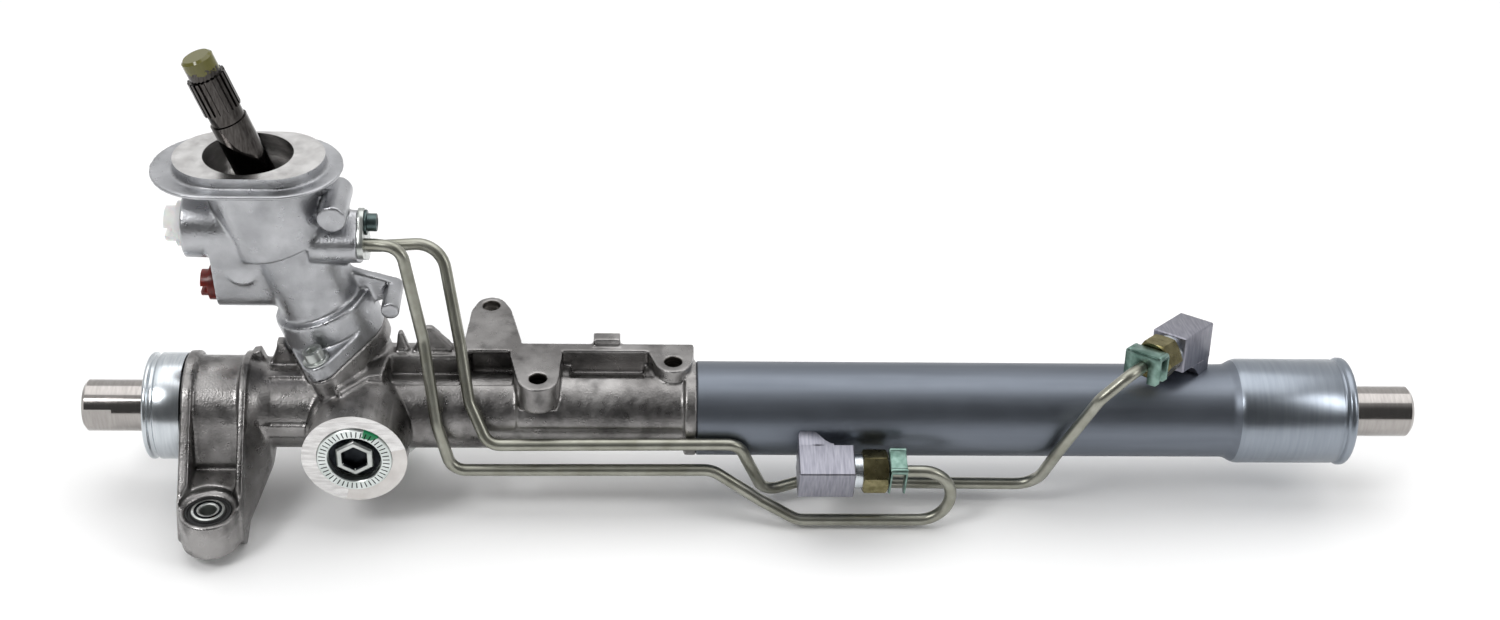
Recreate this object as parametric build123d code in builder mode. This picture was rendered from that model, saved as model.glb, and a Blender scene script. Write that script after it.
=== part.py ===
from build123d import *
from math import acos, atan2, cos, pi, radians, sin, sqrt, tan
import os

os.makedirs("parts", exist_ok=True)

# Hydraulic rack-and-pinion steering gear. X runs along the rack, Z is up, -Y faces the yoke screw.
# The origin is where the yoke's axis crosses the rack's. Millimetres and degrees.

# Fits
running_fit = 0.05
sliding_fit = 0.1
loose_fit = 0.3
clear_gap = 1.0

# Rack bar and teeth
bar_radius = 13.0
bar_left = -138.0
bar_right = 536.6
bar_chamfer = 1.6
wrench_flat = 23.4
wrench_flat_length = 15.0
tie_thread_radius = 7.0
tie_thread_depth = 26.0
tooth_module = 1.9
pressure_angle = 25.0
rack_addendum = 1.3
rack_dedendum = 2.5
toothed_half_length = 86.5
tooth_line_depth = 4.7

# Pinion, valve and input shaft; stations count up the leaning axis from the rack
lean = 19.4
pinion_teeth = 8
pinion_addendum = 2.2
backlash = 0.1
pinion_half_face = 14.0
lower_journal = 6.0
lower_bearing_radius = 14.0
lower_bearing_width = 10.0
lower_bearing_top = -20.0
upper_journal = 10.0
upper_bearing_radius = 17.5
upper_bearing_bottom = 21.0
upper_bearing_width = 11.0
joint_station = 36.0
sleeve_bottom = 50.0
sleeve_top = 94.0
sleeve_radius = 16.0
spool_radius = 10.0
shaft_radius = 9.05
neck_radius = 8.2
neck_start = 164.6
spline_start = 171.0
spline_end = 189.0
spline_radius = 9.2
spline_teeth = 20
spline_depth = 1.0
shaft_tip = 199.6
torsion_radius = 3.2

# Rack housing
left_end = -105.5
left_spigot_radius = 24.0
left_cavity_radius = 19.6
cavity_end = -54.0
bore_radius = 14.0
neck_outer = 20.8
waist_start = 50.0
tube_casting_radius = 18.0
panel_start = 80.0
panel_radius = 21.2
collar_start = 161.5
tube_start = 167.7
spigot_end = 190.0
seal_pocket_radius = 18.5
seal_pocket_start = 176.0

# Bracket
bracket_left = -86.2
bracket_right = -54.5
flange_left_thickness = 5.4
flange_right_thickness = 3.7
flange_radius = 28.0
saddle_radius = 25.7
bush_x = -70.3
bush_y = -57.7
bush_boss_radius = 14.45
bush_top = -20.5
bush_bottom = -40.4
bush_radius = 11.4
bush_sleeve_radius = 8.2
bush_bolt_radius = 4.0

# Yoke barrel
barrel_radius = 25.72
barrel_face = 43.1
yoke_bore = 17.0
yoke_liner = 1.5
yoke_back = 27.0
plug_inner = 29.0
plug_face = 40.5
lock_ring_inner = 13.1
lock_ring_outer = 18.3
lock_ring_back = 41.0
lock_ring_face = 44.3

# Mounting plate
plate_top = 28.0
plate_depth = 8.0
mount_hole_radius = 4.4
rear_hole = (61.8, 50.8)
front_hole = (88.6, -13.7)
right_hole = (155.7, 1.4)
front_lug_radius = 10.3
right_lug_radius = 9.2
lug_height = 15.0
right_hole_depth = 10.5

# Cylinder tube
tube_radius = 23.88
tube_bore = 21.4
tube_taper = 438.0
cup_start = 446.3
cup_radius = 26.85
cup_wall = 2.2
bead_setback = 4.9
cup_bead_radius = 27.7
cup_end = 502.4
end_bush_left = 424.0
piston_station = 322.0
piston_half_length = 10.0

# Port blocks and pipes
left_port = 228.0
right_port = 416.0
block_side = 19.0
block_blind = 10.0
block_reach = 18.0
block_face = 49.25
port_spigot_radius = 10.0
port_bore = 2.5
collar_radius = 8.6
nut_flats = 19.0
pipe_radius = 3.0
pipe_wall = 0.7

# Valve housing
valve_bore = 20.2
drum_radius = 24.6
valve_neck_radius = 20.5
valve_head_radius = 26.0
head_station = 98.0
platform_z = 137.0
ledge_z = 130.0
flange_base_z = 127.0
flange_centre_x = -48.3
platform_end_radius = 23.5
ledge_end_radius = 33.0
stadium_span = 25.0
high_port_z = 97.9
low_port_z = 63.9
high_port_x = -80.8
low_port_x = -68.5
pipe_face_x = 3.0
high_pipe = (2.5, 95.0)
low_pipe = (18.0, 84.5)
clamp_screw = (10.0, 103.0)

# Derived places
cup_bead = cup_end - bead_setback
pitch_radius = tooth_module * pinion_teeth / 2
base_radius = pitch_radius * cos(radians(pressure_angle))
tip_radius = pitch_radius + pinion_addendum
pitch = pi * tooth_module
rack_pitch_line = bar_radius - tooth_line_depth
pinion_y = rack_pitch_line + pitch_radius
pinion_root = pitch_radius - rack_addendum - loose_fit
pinion_tooth = (pitch - backlash) * 0.6575
rack_tooth = pitch - backlash - pinion_tooth

across = Plane.YZ
leaning = Plane(
    origin=(0, pinion_y, 0),
    x_dir=(cos(radians(lean)), 0, sin(radians(lean))),
    z_dir=(-sin(radians(lean)), 0, cos(radians(lean))),
)
facing = Plane(origin=(0, 0, 0), x_dir=(1, 0, 0), z_dir=(0, -1, 0))
ground = Plane.XY


# A straight round bar or hole on a plane's normal, between two stations
def rod(plane, radius, start, end, mode=Mode.ADD):
    with BuildSketch(plane.offset(start)) as disc:
        Circle(radius)
    extrude(disc.sketch, amount=end - start, mode=mode)


# The same, off the plane's origin
def rod_at(plane, centre, radius, start, end, mode=Mode.ADD):
    with BuildSketch(plane.offset(start)) as disc:
        with Locations(centre):
            Circle(radius)
    extrude(disc.sketch, amount=end - start, mode=mode)


# A ring or sleeve on a plane's normal
def ring(plane, inner, outer, start, end, mode=Mode.ADD):
    with BuildSketch(plane.offset(start)) as washer:
        Circle(outer)
        Circle(inner, mode=Mode.SUBTRACT)
    extrude(washer.sketch, amount=end - start, mode=mode)


# A turned form about X, from (x, radius) points
def turned(points, mode=Mode.ADD):
    with BuildSketch(Plane.XZ) as section:
        with BuildLine():
            Polyline(*points, close=True)
        make_face()
    revolve(section.sketch, axis=Axis.X, mode=mode)


# A belt-like outline round circles (x, y, radius) taken anticlockwise: tangents joined by arcs
def belt(plane, circles):
    sides = []
    for (x0, y0, r0), (x1, y1, r1) in zip(circles, circles[1:] + circles[:1]):
        run = sqrt((x1 - x0) ** 2 + (y1 - y0) ** 2)
        normal = atan2(y1 - y0, x1 - x0) - acos((r0 - r1) / run)
        leave = (x0 + r0 * cos(normal), y0 + r0 * sin(normal))
        reach = (x1 + r1 * cos(normal), y1 + r1 * sin(normal))
        sides.append((normal, leave, reach, (x1, y1, r1)))
    with BuildSketch(plane) as outline:
        with BuildLine():
            for (before, _, reach, (x, y, radius)), (after, leave, _, _) in zip(sides, sides[1:] + sides[:1]):
                middle = before + ((after - before) % (2 * pi)) / 2
                ThreePointArc(reach, (x + radius * cos(middle), y + radius * sin(middle)), leave)
            for _, leave, reach, _ in sides:
                Line(leave, reach)
        make_face()
    return outline.sketch


# The same outline drawn out between two stations
def hull_block(plane, circles, start, end, mode=Mode.ADD):
    extrude(belt(plane.offset(start), circles), amount=end - start, mode=mode)


def keep(piece, name):
    piece.part.label = name
    export_step(piece.part, "parts/" + name + ".step")


# Rack bar: toothed over its left half, flats and a tapped hole for the tie rod at the ends
with BuildPart() as rack_bar:
    rod(across, bar_radius, bar_left, bar_right)
    chamfer(rack_bar.edges().filter_by(GeomType.CIRCLE), bar_chamfer)
    slant = Plane(origin=(0, 0, 0), x_dir=leaning.x_dir, z_dir=leaning.z_dir)
    root_y = rack_pitch_line - rack_dedendum
    tip_y = rack_pitch_line + rack_addendum
    flank = tan(radians(pressure_angle))
    gap_half = (pitch - rack_tooth) / 2
    root_half = gap_half - rack_dedendum * flank
    over_half = gap_half + (bar_radius - rack_pitch_line) * flank
    gap_count = 2 * int(toothed_half_length / pitch) + 1
    with BuildSketch(slant) as tooth_gaps:
        with Locations((0, (tip_y + bar_radius + clear_gap) / 2)):
            Rectangle(2 * toothed_half_length, bar_radius + clear_gap - tip_y)
        with GridLocations(pitch, 1, gap_count, 1):
            Polygon(
                (-root_half, root_y),
                (root_half, root_y),
                (over_half, bar_radius),
                (-over_half, bar_radius),
                align=None,
            )
    extrude(tooth_gaps.sketch, amount=60, both=True, mode=Mode.SUBTRACT)
    for side in (-1, 1):
        with BuildSketch(facing.offset(side * wrench_flat / 2)) as flat:
            with Locations((bar_left + wrench_flat_length / 2, 0)):
                Rectangle(wrench_flat_length, 2 * bar_radius)
        extrude(flat.sketch, amount=side * bar_radius, mode=Mode.SUBTRACT)
    rod(across, tie_thread_radius, bar_left, bar_left + tie_thread_depth, Mode.SUBTRACT)
    rod(across, tie_thread_radius, bar_right - tie_thread_depth, bar_right, Mode.SUBTRACT)
keep(rack_bar, "rack_bar")


# Rack housing: one casting from the left spigot to the cylinder tube, with the yoke's barrel,
# the pinion's lower bearing, the clamp bracket and the mounting plate
left_toes = [(0, 0, flange_radius), (-55.5, -23.2, 1.5), (-60, -36.7, 1.5)]
right_toes = [(0, 0, flange_radius), (-55.5, -23.2, 1.5), (-58, -38, 1.5), (-51, -45, 2)]
joint_circles = [(0, 0, drum_radius), (4, 32.5, 8), (0, 0, drum_radius), (-4, -32.5, 8)]

with BuildPart() as rack_housing:
    rod(across, left_spigot_radius, left_end, bracket_left)
    rod(across, saddle_radius, bracket_left, bracket_right)
    hull_block(across, left_toes, bracket_left, bracket_left + flange_left_thickness)
    hull_block(across, right_toes, bracket_right - flange_right_thickness, bracket_right)
    arm = [(bush_y + 4, -20, 3), (bush_y + 5, -36, 3), (-12, -24, 2), (-18, -18.5, 2)]
    hull_block(across, arm, bracket_left + 1, bracket_right - 1)
    bush_centre = (bush_x, bush_y)
    rod_at(ground, bush_centre, bush_boss_radius, bush_bottom, bush_top)
    rod_at(ground, bush_centre, bush_boss_radius, bush_top, -8, Mode.SUBTRACT)
    rod(across, neck_outer, bracket_right, waist_start)
    rod(across, tube_casting_radius, waist_start, collar_start)
    rod(across, panel_radius, panel_start, collar_start)
    gusset_root = bracket_right - 0.5
    wide = belt(across.offset(gusset_root), [(0, 0, flange_radius - 0.6), (-48, -33, 8)])
    narrow = belt(across.offset(gusset_root + 10), [(0, 0, neck_outer + 0.5), (-14, -20, 5.5)])
    loft(sections=[wide, narrow], ruled=True)
    # pinion boss, with the joint flange of the valve housing on top
    rod(leaning, 21.5, -4, joint_station)
    rod(leaning, 18, -34, 0)
    hull_block(leaning, joint_circles, joint_station - 9, joint_station)
    rod_at(leaning, (-4, -32.5), 8, 10, joint_station)
    rod_at(leaning, (4, 32.5), 8, 20, joint_station)
    # yoke barrel
    rod(facing, barrel_radius, -5, barrel_face)
    chamfer(rack_housing.faces().sort_by(Axis.Y)[0].edges().sort_by(SortBy.LENGTH)[-1], 0.6)
    # mounting plate with its three lugs
    with BuildSketch(ground.offset(plate_top)) as strip:
        with Locations((108.1, 13.6)):
            Rectangle(116.5, 6.8)
    extrude(strip.sketch, amount=-plate_top + 4)
    rear_ear = [(61.8, 50.8, 7.9), (56, 46, 4.2), (52, 19, 2), (77, 19, 2), (68.2, 46, 4.4)]
    front_lug = [(88.6, -13.7, front_lug_radius), (98, 8, 2), (75.5, 8, 2)]
    right_lug = [(155.7, 1.4, right_lug_radius), (164, 9, 2), (145.5, 9, 2)]
    hull_block(ground, rear_ear, plate_top - plate_depth, plate_top)
    hull_block(ground, front_lug, plate_top - lug_height, plate_top)
    hull_block(ground, right_lug, plate_top - lug_height, plate_top)
    # end collar and the spigot inside the tube
    rod(across, 24, collar_start, tube_start)
    rod(across, tube_bore, tube_start, spigot_end)
    # bores
    rod(across, left_cavity_radius, left_end, cavity_end, Mode.SUBTRACT)
    rod(across, bore_radius, cavity_end, spigot_end, Mode.SUBTRACT)
    rod(across, seal_pocket_radius, seal_pocket_start, spigot_end, Mode.SUBTRACT)
    rod(leaning, tip_radius + 0.5, -20, upper_bearing_bottom, Mode.SUBTRACT)
    rod(leaning, lower_bearing_radius, -34, lower_bearing_top, Mode.SUBTRACT)
    rod(leaning, upper_bearing_radius, upper_bearing_bottom, joint_station, Mode.SUBTRACT)
    rod(facing, yoke_bore, 0, barrel_face, Mode.SUBTRACT)
    rod(facing, lock_ring_outer + 0.2, plug_face, barrel_face, Mode.SUBTRACT)
    rod_at(ground, bush_centre, bush_radius, bush_bottom, bush_top, Mode.SUBTRACT)
    for hole, depth in ((rear_hole, plate_depth), (front_hole, lug_height), (right_hole, right_hole_depth)):
        rod_at(ground, hole, mount_hole_radius, plate_top - depth, plate_top, Mode.SUBTRACT)
    for side in (-1, 1):
        rod_at(leaning, (side * 4, side * 32.5), 3.4, 18, joint_station, Mode.SUBTRACT)
keep(rack_housing, "rack_housing")

# Valve housing: joint flange, drum, neck and head along the pinion's axis, under a level flange
with BuildPart() as valve_housing:
    rod(leaning, valve_head_radius, head_station, 150)
    split(bisect_by=ground.offset(flange_base_z), keep=Keep.BOTTOM)
    hull_block(leaning, joint_circles, joint_station, joint_station + 8)
    rod(leaning, drum_radius, joint_station + 8, 58)
    rod(leaning, valve_neck_radius, 50, head_station + 1)
    # the two feed ports on the left
    port_wall = [(pinion_y, high_port_z, 16.5), (pinion_y, low_port_z, 11.4)]
    hull_block(across, port_wall, low_port_x, -24)
    rod_at(across, (pinion_y, high_port_z), 16.5, high_port_x, -30)
    # the pipe port on the right
    pipe_wall_circles = [(*high_pipe, 8.5), (*low_pipe, 8.5), (*clamp_screw, 6)]
    hull_block(across, pipe_wall_circles, -20, pipe_face_x)
    # level flange with its raised seal face
    for half, low, high in (
        (ledge_end_radius, flange_base_z, ledge_z),
        (platform_end_radius, ledge_z, platform_z),
    ):
        ends = [(flange_centre_x + side * stadium_span / 2, pinion_y, half) for side in (-1, 1)]
        hull_block(ground, ends, low, high)
    # cast bosses facing front
    rod_at(facing, (-7.5, 113), 7, -25, 5)
    rod_at(facing, (17, 61), 4.6, -20, 5)
    with BuildSketch(facing.offset(-14)) as ear_web:
        with BuildLine():
            Polyline((-12, 48), (17, 57), (17, 65.6), (-12, 75), close=True)
        make_face()
    extrude(ear_web.sketch, amount=-6)
    with BuildSketch(facing.offset(-12)) as head_web:
        with BuildLine():
            Polyline((-40, 106), (-7.5, 106), (-7.5, 120), (-40, 120), close=True)
        make_face()
    extrude(head_web.sketch, amount=-8)
    # bores
    rod(leaning, sleeve_radius + running_fit, joint_station, 104, Mode.SUBTRACT)
    rod(leaning, valve_bore, 116, 160, Mode.SUBTRACT)
    rod(leaning, 17.0, 104, 116, Mode.SUBTRACT)
    rod_at(across, (pinion_y, high_port_z), 8, high_port_x, -62, Mode.SUBTRACT)
    rod_at(across, (pinion_y, low_port_z), 6, low_port_x, -50, Mode.SUBTRACT)
    for hole in (high_pipe, low_pipe):
        rod_at(across, hole, pipe_radius + 0.3, -8, pipe_face_x, Mode.SUBTRACT)
        rod_at(across, hole, pipe_radius + 1.8, -3, pipe_face_x, Mode.SUBTRACT)
    rod_at(across, clamp_screw, 2.5, -10, pipe_face_x, Mode.SUBTRACT)
    for side in (-1, 1):
        rod_at(leaning, (side * 4, side * 32.5), 3.9, joint_station, joint_station + 8, Mode.SUBTRACT)
        rod_at(leaning, (side * 4, side * 32.5), 7.4, joint_station + 8, 70, Mode.SUBTRACT)
keep(valve_housing, "valve_housing")

# Valve housing's two hexagon-socket screws
screw_spots = [(side * 4, side * 32.5) for side in (-1, 1)]
with BuildPart() as housing_screws:
    seat = joint_station + 8
    for spot in screw_spots:
        rod_at(leaning, spot, 3.3, seat - 20, seat)
        rod_at(leaning, spot, 6.7, seat, seat + 1.4)
        rod_at(leaning, spot, 4.9, seat + 1.4, seat + 6.4)
        with BuildSketch(leaning.offset(seat + 6.4)) as socket:
            with Locations(spot):
                RegularPolygon(2.9, 6)
        extrude(socket.sketch, amount=-3, mode=Mode.SUBTRACT)
keep(housing_screws, "housing_screws")

# Clamp bracket's rubber bush and its steel sleeve
with BuildPart() as bracket_bush:
    bush_plane = Plane(origin=(bush_x, bush_y, 0))
    ring(bush_plane, bush_sleeve_radius, bush_radius, bush_bottom + 1, bush_top - 0.5)
keep(bracket_bush, "bracket_bush")

with BuildPart() as bracket_sleeve:
    ring(bush_plane, bush_bolt_radius, bush_sleeve_radius, bush_bottom - 0.5, bush_top + 0.3)
keep(bracket_sleeve, "bracket_sleeve")

# Steel boot seat pressed on the left spigot, with the groove for the boot's clip
with BuildPart() as left_boot_seat:
    turned([
        (left_end, left_spigot_radius),
        (left_end, cup_radius - 1),
        (left_end + 1, cup_radius),
        (left_end + 2.4, cup_radius),
        (left_end + 3, cup_radius - 1.1),
        (left_end + 5, cup_radius - 1.1),
        (left_end + 5.6, cup_radius),
        (bracket_left - 0.8, cup_radius),
        (bracket_left - 0.8, left_spigot_radius),
    ])
keep(left_boot_seat, "left_boot_seat")

# Cylinder tube: drawn steel, flared at the right into a cup with a rolled bead
with BuildPart() as cylinder_tube:
    turned([
        (tube_start, tube_bore),
        (tube_start, tube_radius),
        (tube_taper, tube_radius),
        (cup_start, cup_radius),
        (cup_bead - 2.5, cup_radius),
        (cup_bead - 1, cup_radius - 0.7),
        (cup_bead, cup_radius - 0.7),
        (cup_bead + 1.4, cup_bead_radius),
        (cup_end - 0.8, cup_bead_radius),
        (cup_end, cup_bead_radius - 0.8),
        (cup_end, cup_radius - cup_wall),
        (cup_start, cup_radius - cup_wall),
        (tube_taper, tube_bore),
    ])
    lower_block = Plane(
        origin=(left_port, 0, 0), x_dir=(1, 0, 0), z_dir=(0, -cos(radians(15)), -sin(radians(15)))
    )
    upper_block = Plane(
        origin=(right_port, 0, 0), x_dir=(-0.671, -0.73, 0.1287), z_dir=(0, sin(radians(10)), cos(radians(10)))
    )
    for block in (lower_block, upper_block):
        rod(block, port_bore, tube_bore - 4, tube_radius + 1, Mode.SUBTRACT)
keep(cylinder_tube, "cylinder_tube")

# Seals and bushes the bar slides through
with BuildPart() as inner_rack_seal:
    ring(across, bar_radius + running_fit, seal_pocket_radius, seal_pocket_start, spigot_end - 3.5)
keep(inner_rack_seal, "inner_rack_seal")

with BuildPart() as inner_seal_washer:
    ring(across, bar_radius + loose_fit, seal_pocket_radius, spigot_end - 3.5, spigot_end)
keep(inner_seal_washer, "inner_seal_washer")

with BuildPart() as end_bush:
    ring(across, bar_radius + sliding_fit, tube_bore, end_bush_left, tube_taper - 0.5)
    rod(across, seal_pocket_radius, end_bush_left, end_bush_left + 7, Mode.SUBTRACT)
keep(end_bush, "end_bush")

with BuildPart() as outer_rack_seal:
    ring(across, bar_radius + running_fit, seal_pocket_radius, end_bush_left, end_bush_left + 7)
keep(outer_rack_seal, "outer_rack_seal")

# Piston on the bar, with its sliding ring and two wire clips
piston_left = piston_station - piston_half_length
piston_right = piston_station + piston_half_length
with BuildPart() as piston:
    ring(across, bar_radius, tube_bore - 0.3, piston_left, piston_right)
    ring(across, tube_bore - 2.6, tube_bore, piston_station - 2.5, piston_station + 2.5, Mode.SUBTRACT)
keep(piston, "piston")

with BuildPart() as piston_ring:
    ring(across, tube_bore - 2.6, tube_bore - running_fit, piston_station - 2.5, piston_station + 2.5)
keep(piston_ring, "piston_ring")

with BuildPart() as piston_clips:
    ring(across, bar_radius, bar_radius + 2, piston_left - 1.6, piston_left)
    ring(across, bar_radius, bar_radius + 2, piston_right, piston_right + 1.6)
keep(piston_clips, "piston_clips")

# Port blocks brazed on the tube, each with a union nut and a sheet clip round its pipe
block_base = block_face - block_side
union_height = block_face - block_side / 2
union_face = block_reach + 1.7
nut_end = union_face + 15
clip_start = nut_end + 0.8
clip_end = clip_start + 8.5
lower_union, upper_union = [
    Plane(origin=block.origin + block.z_dir * union_height, x_dir=block.y_dir, z_dir=block.x_dir)
    for block in (lower_block, upper_block)
]
for block, union, name in ((lower_block, lower_union, "lower"), (upper_block, upper_union, "upper")):
    with BuildPart() as port_block:
        with BuildSketch(union.offset(-block_blind)) as bar:
            Rectangle(block_side, block_side)
        extrude(bar.sketch, amount=block_blind + block_reach)
        chamfer(port_block.edges(), 0.6)
        rod(block, port_spigot_radius, 0, block_base + 0.5)
        rod(across, tube_radius, tube_start, cup_start, Mode.SUBTRACT)
        rod(block, port_bore, tube_radius - 2, union_height, Mode.SUBTRACT)
        rod(union, pipe_radius, -pipe_radius, block_reach, Mode.SUBTRACT)
        rod(union, 6.2, 6, block_reach, Mode.SUBTRACT)
    keep(port_block, name + "_port_block")
    with BuildPart() as union_nut:
        rod(union, 6.2, 8, block_reach)
        rod(union, collar_radius, block_reach, union_face + 2.3)
        with BuildSketch(union.offset(union_face + 2.3)) as flats:
            RegularPolygon(nut_flats / 2, 6, major_radius=False)
        extrude(flats.sketch, amount=nut_end - union_face - 2.3)
        rod(union, pipe_radius, 6, nut_end, Mode.SUBTRACT)
    keep(union_nut, name + "_union_nut")
    with BuildPart() as clip:
        for start in (clip_start, clip_end - 1):
            with BuildSketch(union.offset(start)) as leaf:
                Rectangle(20, 16)
                Circle(pipe_radius + 0.15, mode=Mode.SUBTRACT)
            extrude(leaf.sketch, amount=1)
        with BuildSketch(union.offset(clip_start)) as spine:
            with Locations((0, 7.5)):
                Rectangle(20, 1)
        extrude(spine.sketch, amount=clip_end - clip_start)
    keep(clip, name + "_pipe_clip")

# Rigid steel pipes from the valve to the two ends of the cylinder, each in one run
def on_union(union, distance):
    return tuple(union.origin + union.z_dir * distance)


bend = 9.0
wide_bend = 14.0
loop_x = 296.0
loop_drop = 31.3
loop_y = lower_union.origin.Y
loop_top = lower_union.origin.Z
front_route = [
    (-6, *high_pipe),
    (pipe_face_x + 8, *high_pipe),
    (23.4, 0.8, 94.6),
    (32.7, -8, 46.6),
    (38.7, -24, 6.5),
    (45.6, -28, -18.6),
    (175.7, -28, -18.1),
    (200.3, -33, -33.4),
    (219, loop_y, loop_top - loop_drop),
    (loop_x, loop_y, loop_top - loop_drop),
    (loop_x, loop_y, loop_top),
    on_union(lower_union, 8),
]
front_bends = [wide_bend, bend, wide_bend, wide_bend, bend, wide_bend, wide_bend, wide_bend]
front_bends += [loop_drop / 2 - sliding_fit, loop_drop / 2 - sliding_fit]
rear_route = [
    (-6, *low_pipe),
    (pipe_face_x + 8, *low_pipe),
    (41, 17.5, 87),
    (50.2, -4, 41),
    (54.6, -18, 16.3),
    (64, -28.4, -2.5),
    (188.5, -27.5, -2.2),
    (203, -19.5, -38.5),
    (221, -18, -33.3),
    (342.5, -19.5, -33.1),
    (350.9, -30, -1.7),
    (365.1, -36, 32.8),
    on_union(upper_union, 53.8),
    on_union(upper_union, 8),
]
rear_bends = [wide_bend, wide_bend, wide_bend, wide_bend, bend, bend, bend, wide_bend]
rear_bends += [wide_bend, wide_bend, bend, bend]
for route, bends, name in (
    (front_route, front_bends, "front_pipe"),
    (rear_route, rear_bends, "rear_pipe"),
):
    with BuildPart() as pipe:
        with BuildLine() as run:
            FilletPolyline(*route, radius=bends)
        with BuildSketch(Plane(origin=route[0], z_dir=run.line % 0)) as wall:
            Circle(pipe_radius)
            Circle(pipe_radius - pipe_wall, mode=Mode.SUBTRACT)
        sweep(wall.sketch, path=run.line)
    keep(pipe, name)

# Sealing rings of the pipes in the valve housing
with BuildPart() as pipe_seals:
    for hole in (high_pipe, low_pipe):
        rod_at(across, hole, pipe_radius + 1.8, -3, -1)
        rod_at(across, hole, pipe_radius, -3, -1, Mode.SUBTRACT)
keep(pipe_seals, "pipe_seals")

# Plate and screw that hold both pipes in the valve housing
plate_thickness = 3.0
with BuildPart() as pipe_clamp:
    clamp_circles = [(*high_pipe, 7), (*low_pipe, 7), (*clamp_screw, 7)]
    hull_block(across, clamp_circles, pipe_face_x, pipe_face_x + plate_thickness)
    for hole, radius in ((high_pipe, pipe_radius), (low_pipe, pipe_radius), (clamp_screw, 3.3)):
        rod_at(across, hole, radius, pipe_face_x, pipe_face_x + plate_thickness, Mode.SUBTRACT)
keep(pipe_clamp, "pipe_clamp")

with BuildPart() as pipe_clamp_screw:
    head_base = pipe_face_x + plate_thickness
    rod_at(across, clamp_screw, 2.5, -10, head_base)
    rod_at(across, clamp_screw, 6.2, head_base, head_base + 1.4)
    rod_at(across, clamp_screw, 4.4, head_base + 1.4, head_base + 6)
    rod_at(across, clamp_screw, 2.2, head_base + 3.5, head_base + 6, Mode.SUBTRACT)
keep(pipe_clamp_screw, "pipe_clamp_screw")

# Plugs in the two feed ports
with BuildPart() as white_cap:
    rod_at(across, (pinion_y, high_port_z), 7.8, high_port_x - 0.1, -70)
    rod_at(across, (pinion_y, high_port_z), 11, high_port_x - 3.4, high_port_x)
    rod_at(across, (pinion_y, high_port_z), 8.6, high_port_x - 9, high_port_x - 3.4)
keep(white_cap, "white_cap")

with BuildPart() as red_cap:
    rod_at(across, (pinion_y, low_port_z), 5.8, low_port_x - 0.1, -58)
    rod_at(across, (pinion_y, low_port_z), 8.6, low_port_x - 4, low_port_x)
    rod_at(across, (pinion_y, low_port_z), 6.6, low_port_x - 8, low_port_x - 4)
keep(red_cap, "red_cap")

# Yoke: plunger with a concave liner on the bar's back, spring, sealing ring, screw plug and lock ring
with BuildPart() as yoke:
    rod(facing, yoke_bore - sliding_fit, 2, yoke_back)
    rod(across, bar_radius + yoke_liner, -yoke_bore, yoke_bore, Mode.SUBTRACT)
    rod(facing, 9, yoke_back - 7, yoke_back, Mode.SUBTRACT)
    ring(facing, 15, yoke_bore, 21.5, 24, Mode.SUBTRACT)
keep(yoke, "yoke")

with BuildPart() as yoke_liner_shell:
    rod(facing, yoke_bore - clear_gap, 2, yoke_back)
    rod(across, bar_radius + yoke_liner, -yoke_bore, yoke_bore, Mode.INTERSECT)
    rod(across, bar_radius + running_fit, -yoke_bore, yoke_bore, Mode.SUBTRACT)
keep(yoke_liner_shell, "yoke_liner")

with BuildPart() as yoke_o_ring:
    ring(facing, 15, yoke_bore, 21.5, 24)
keep(yoke_o_ring, "yoke_o_ring")

spring_start = yoke_back - 7
spring_end = plug_inner + 3
with BuildPart() as yoke_spring:
    spring_height = spring_end - spring_start - 2.4
    with BuildLine() as coil:
        Helix(
            pitch=spring_height / 3,
            height=spring_height,
            radius=7,
            center=(0, -spring_start - 1.2, 0),
            direction=(0, -1, 0),
        )
    with BuildSketch(Plane(origin=coil.line @ 0, z_dir=coil.line % 0)) as wire:
        Circle(1.15)
    sweep(wire.sketch, path=coil.line)
keep(yoke_spring, "yoke_spring")

with BuildPart() as adjuster_plug:
    rod(facing, yoke_bore, plug_inner, plug_face)
    rod(facing, 9, plug_inner, spring_end, Mode.SUBTRACT)
    with BuildSketch(facing.offset(plug_face)) as boss:
        RegularPolygon(9.9, 6)
    extrude(boss.sketch, amount=3)
    rod(facing, 6.2, plug_face - 4, plug_face + 3, Mode.SUBTRACT)
keep(adjuster_plug, "adjuster_plug")

with BuildPart() as lock_ring:
    ring(facing, lock_ring_inner, lock_ring_outer, lock_ring_back, lock_ring_face)
keep(lock_ring, "lock_ring")

# Pinion shaft with its involute teeth
tooth_angle = pinion_tooth / pitch_radius
involute_at_pitch = tan(radians(pressure_angle)) - radians(pressure_angle)


# A point on the involute flank of the tooth that lies along the plane's -y side
def flank_point(radius, side):
    roll = acos(min(1, base_radius / radius))
    half = tooth_angle / 2 + involute_at_pitch - (tan(roll) - roll)
    return (radius * sin(side * half), -radius * cos(side * half))


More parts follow.
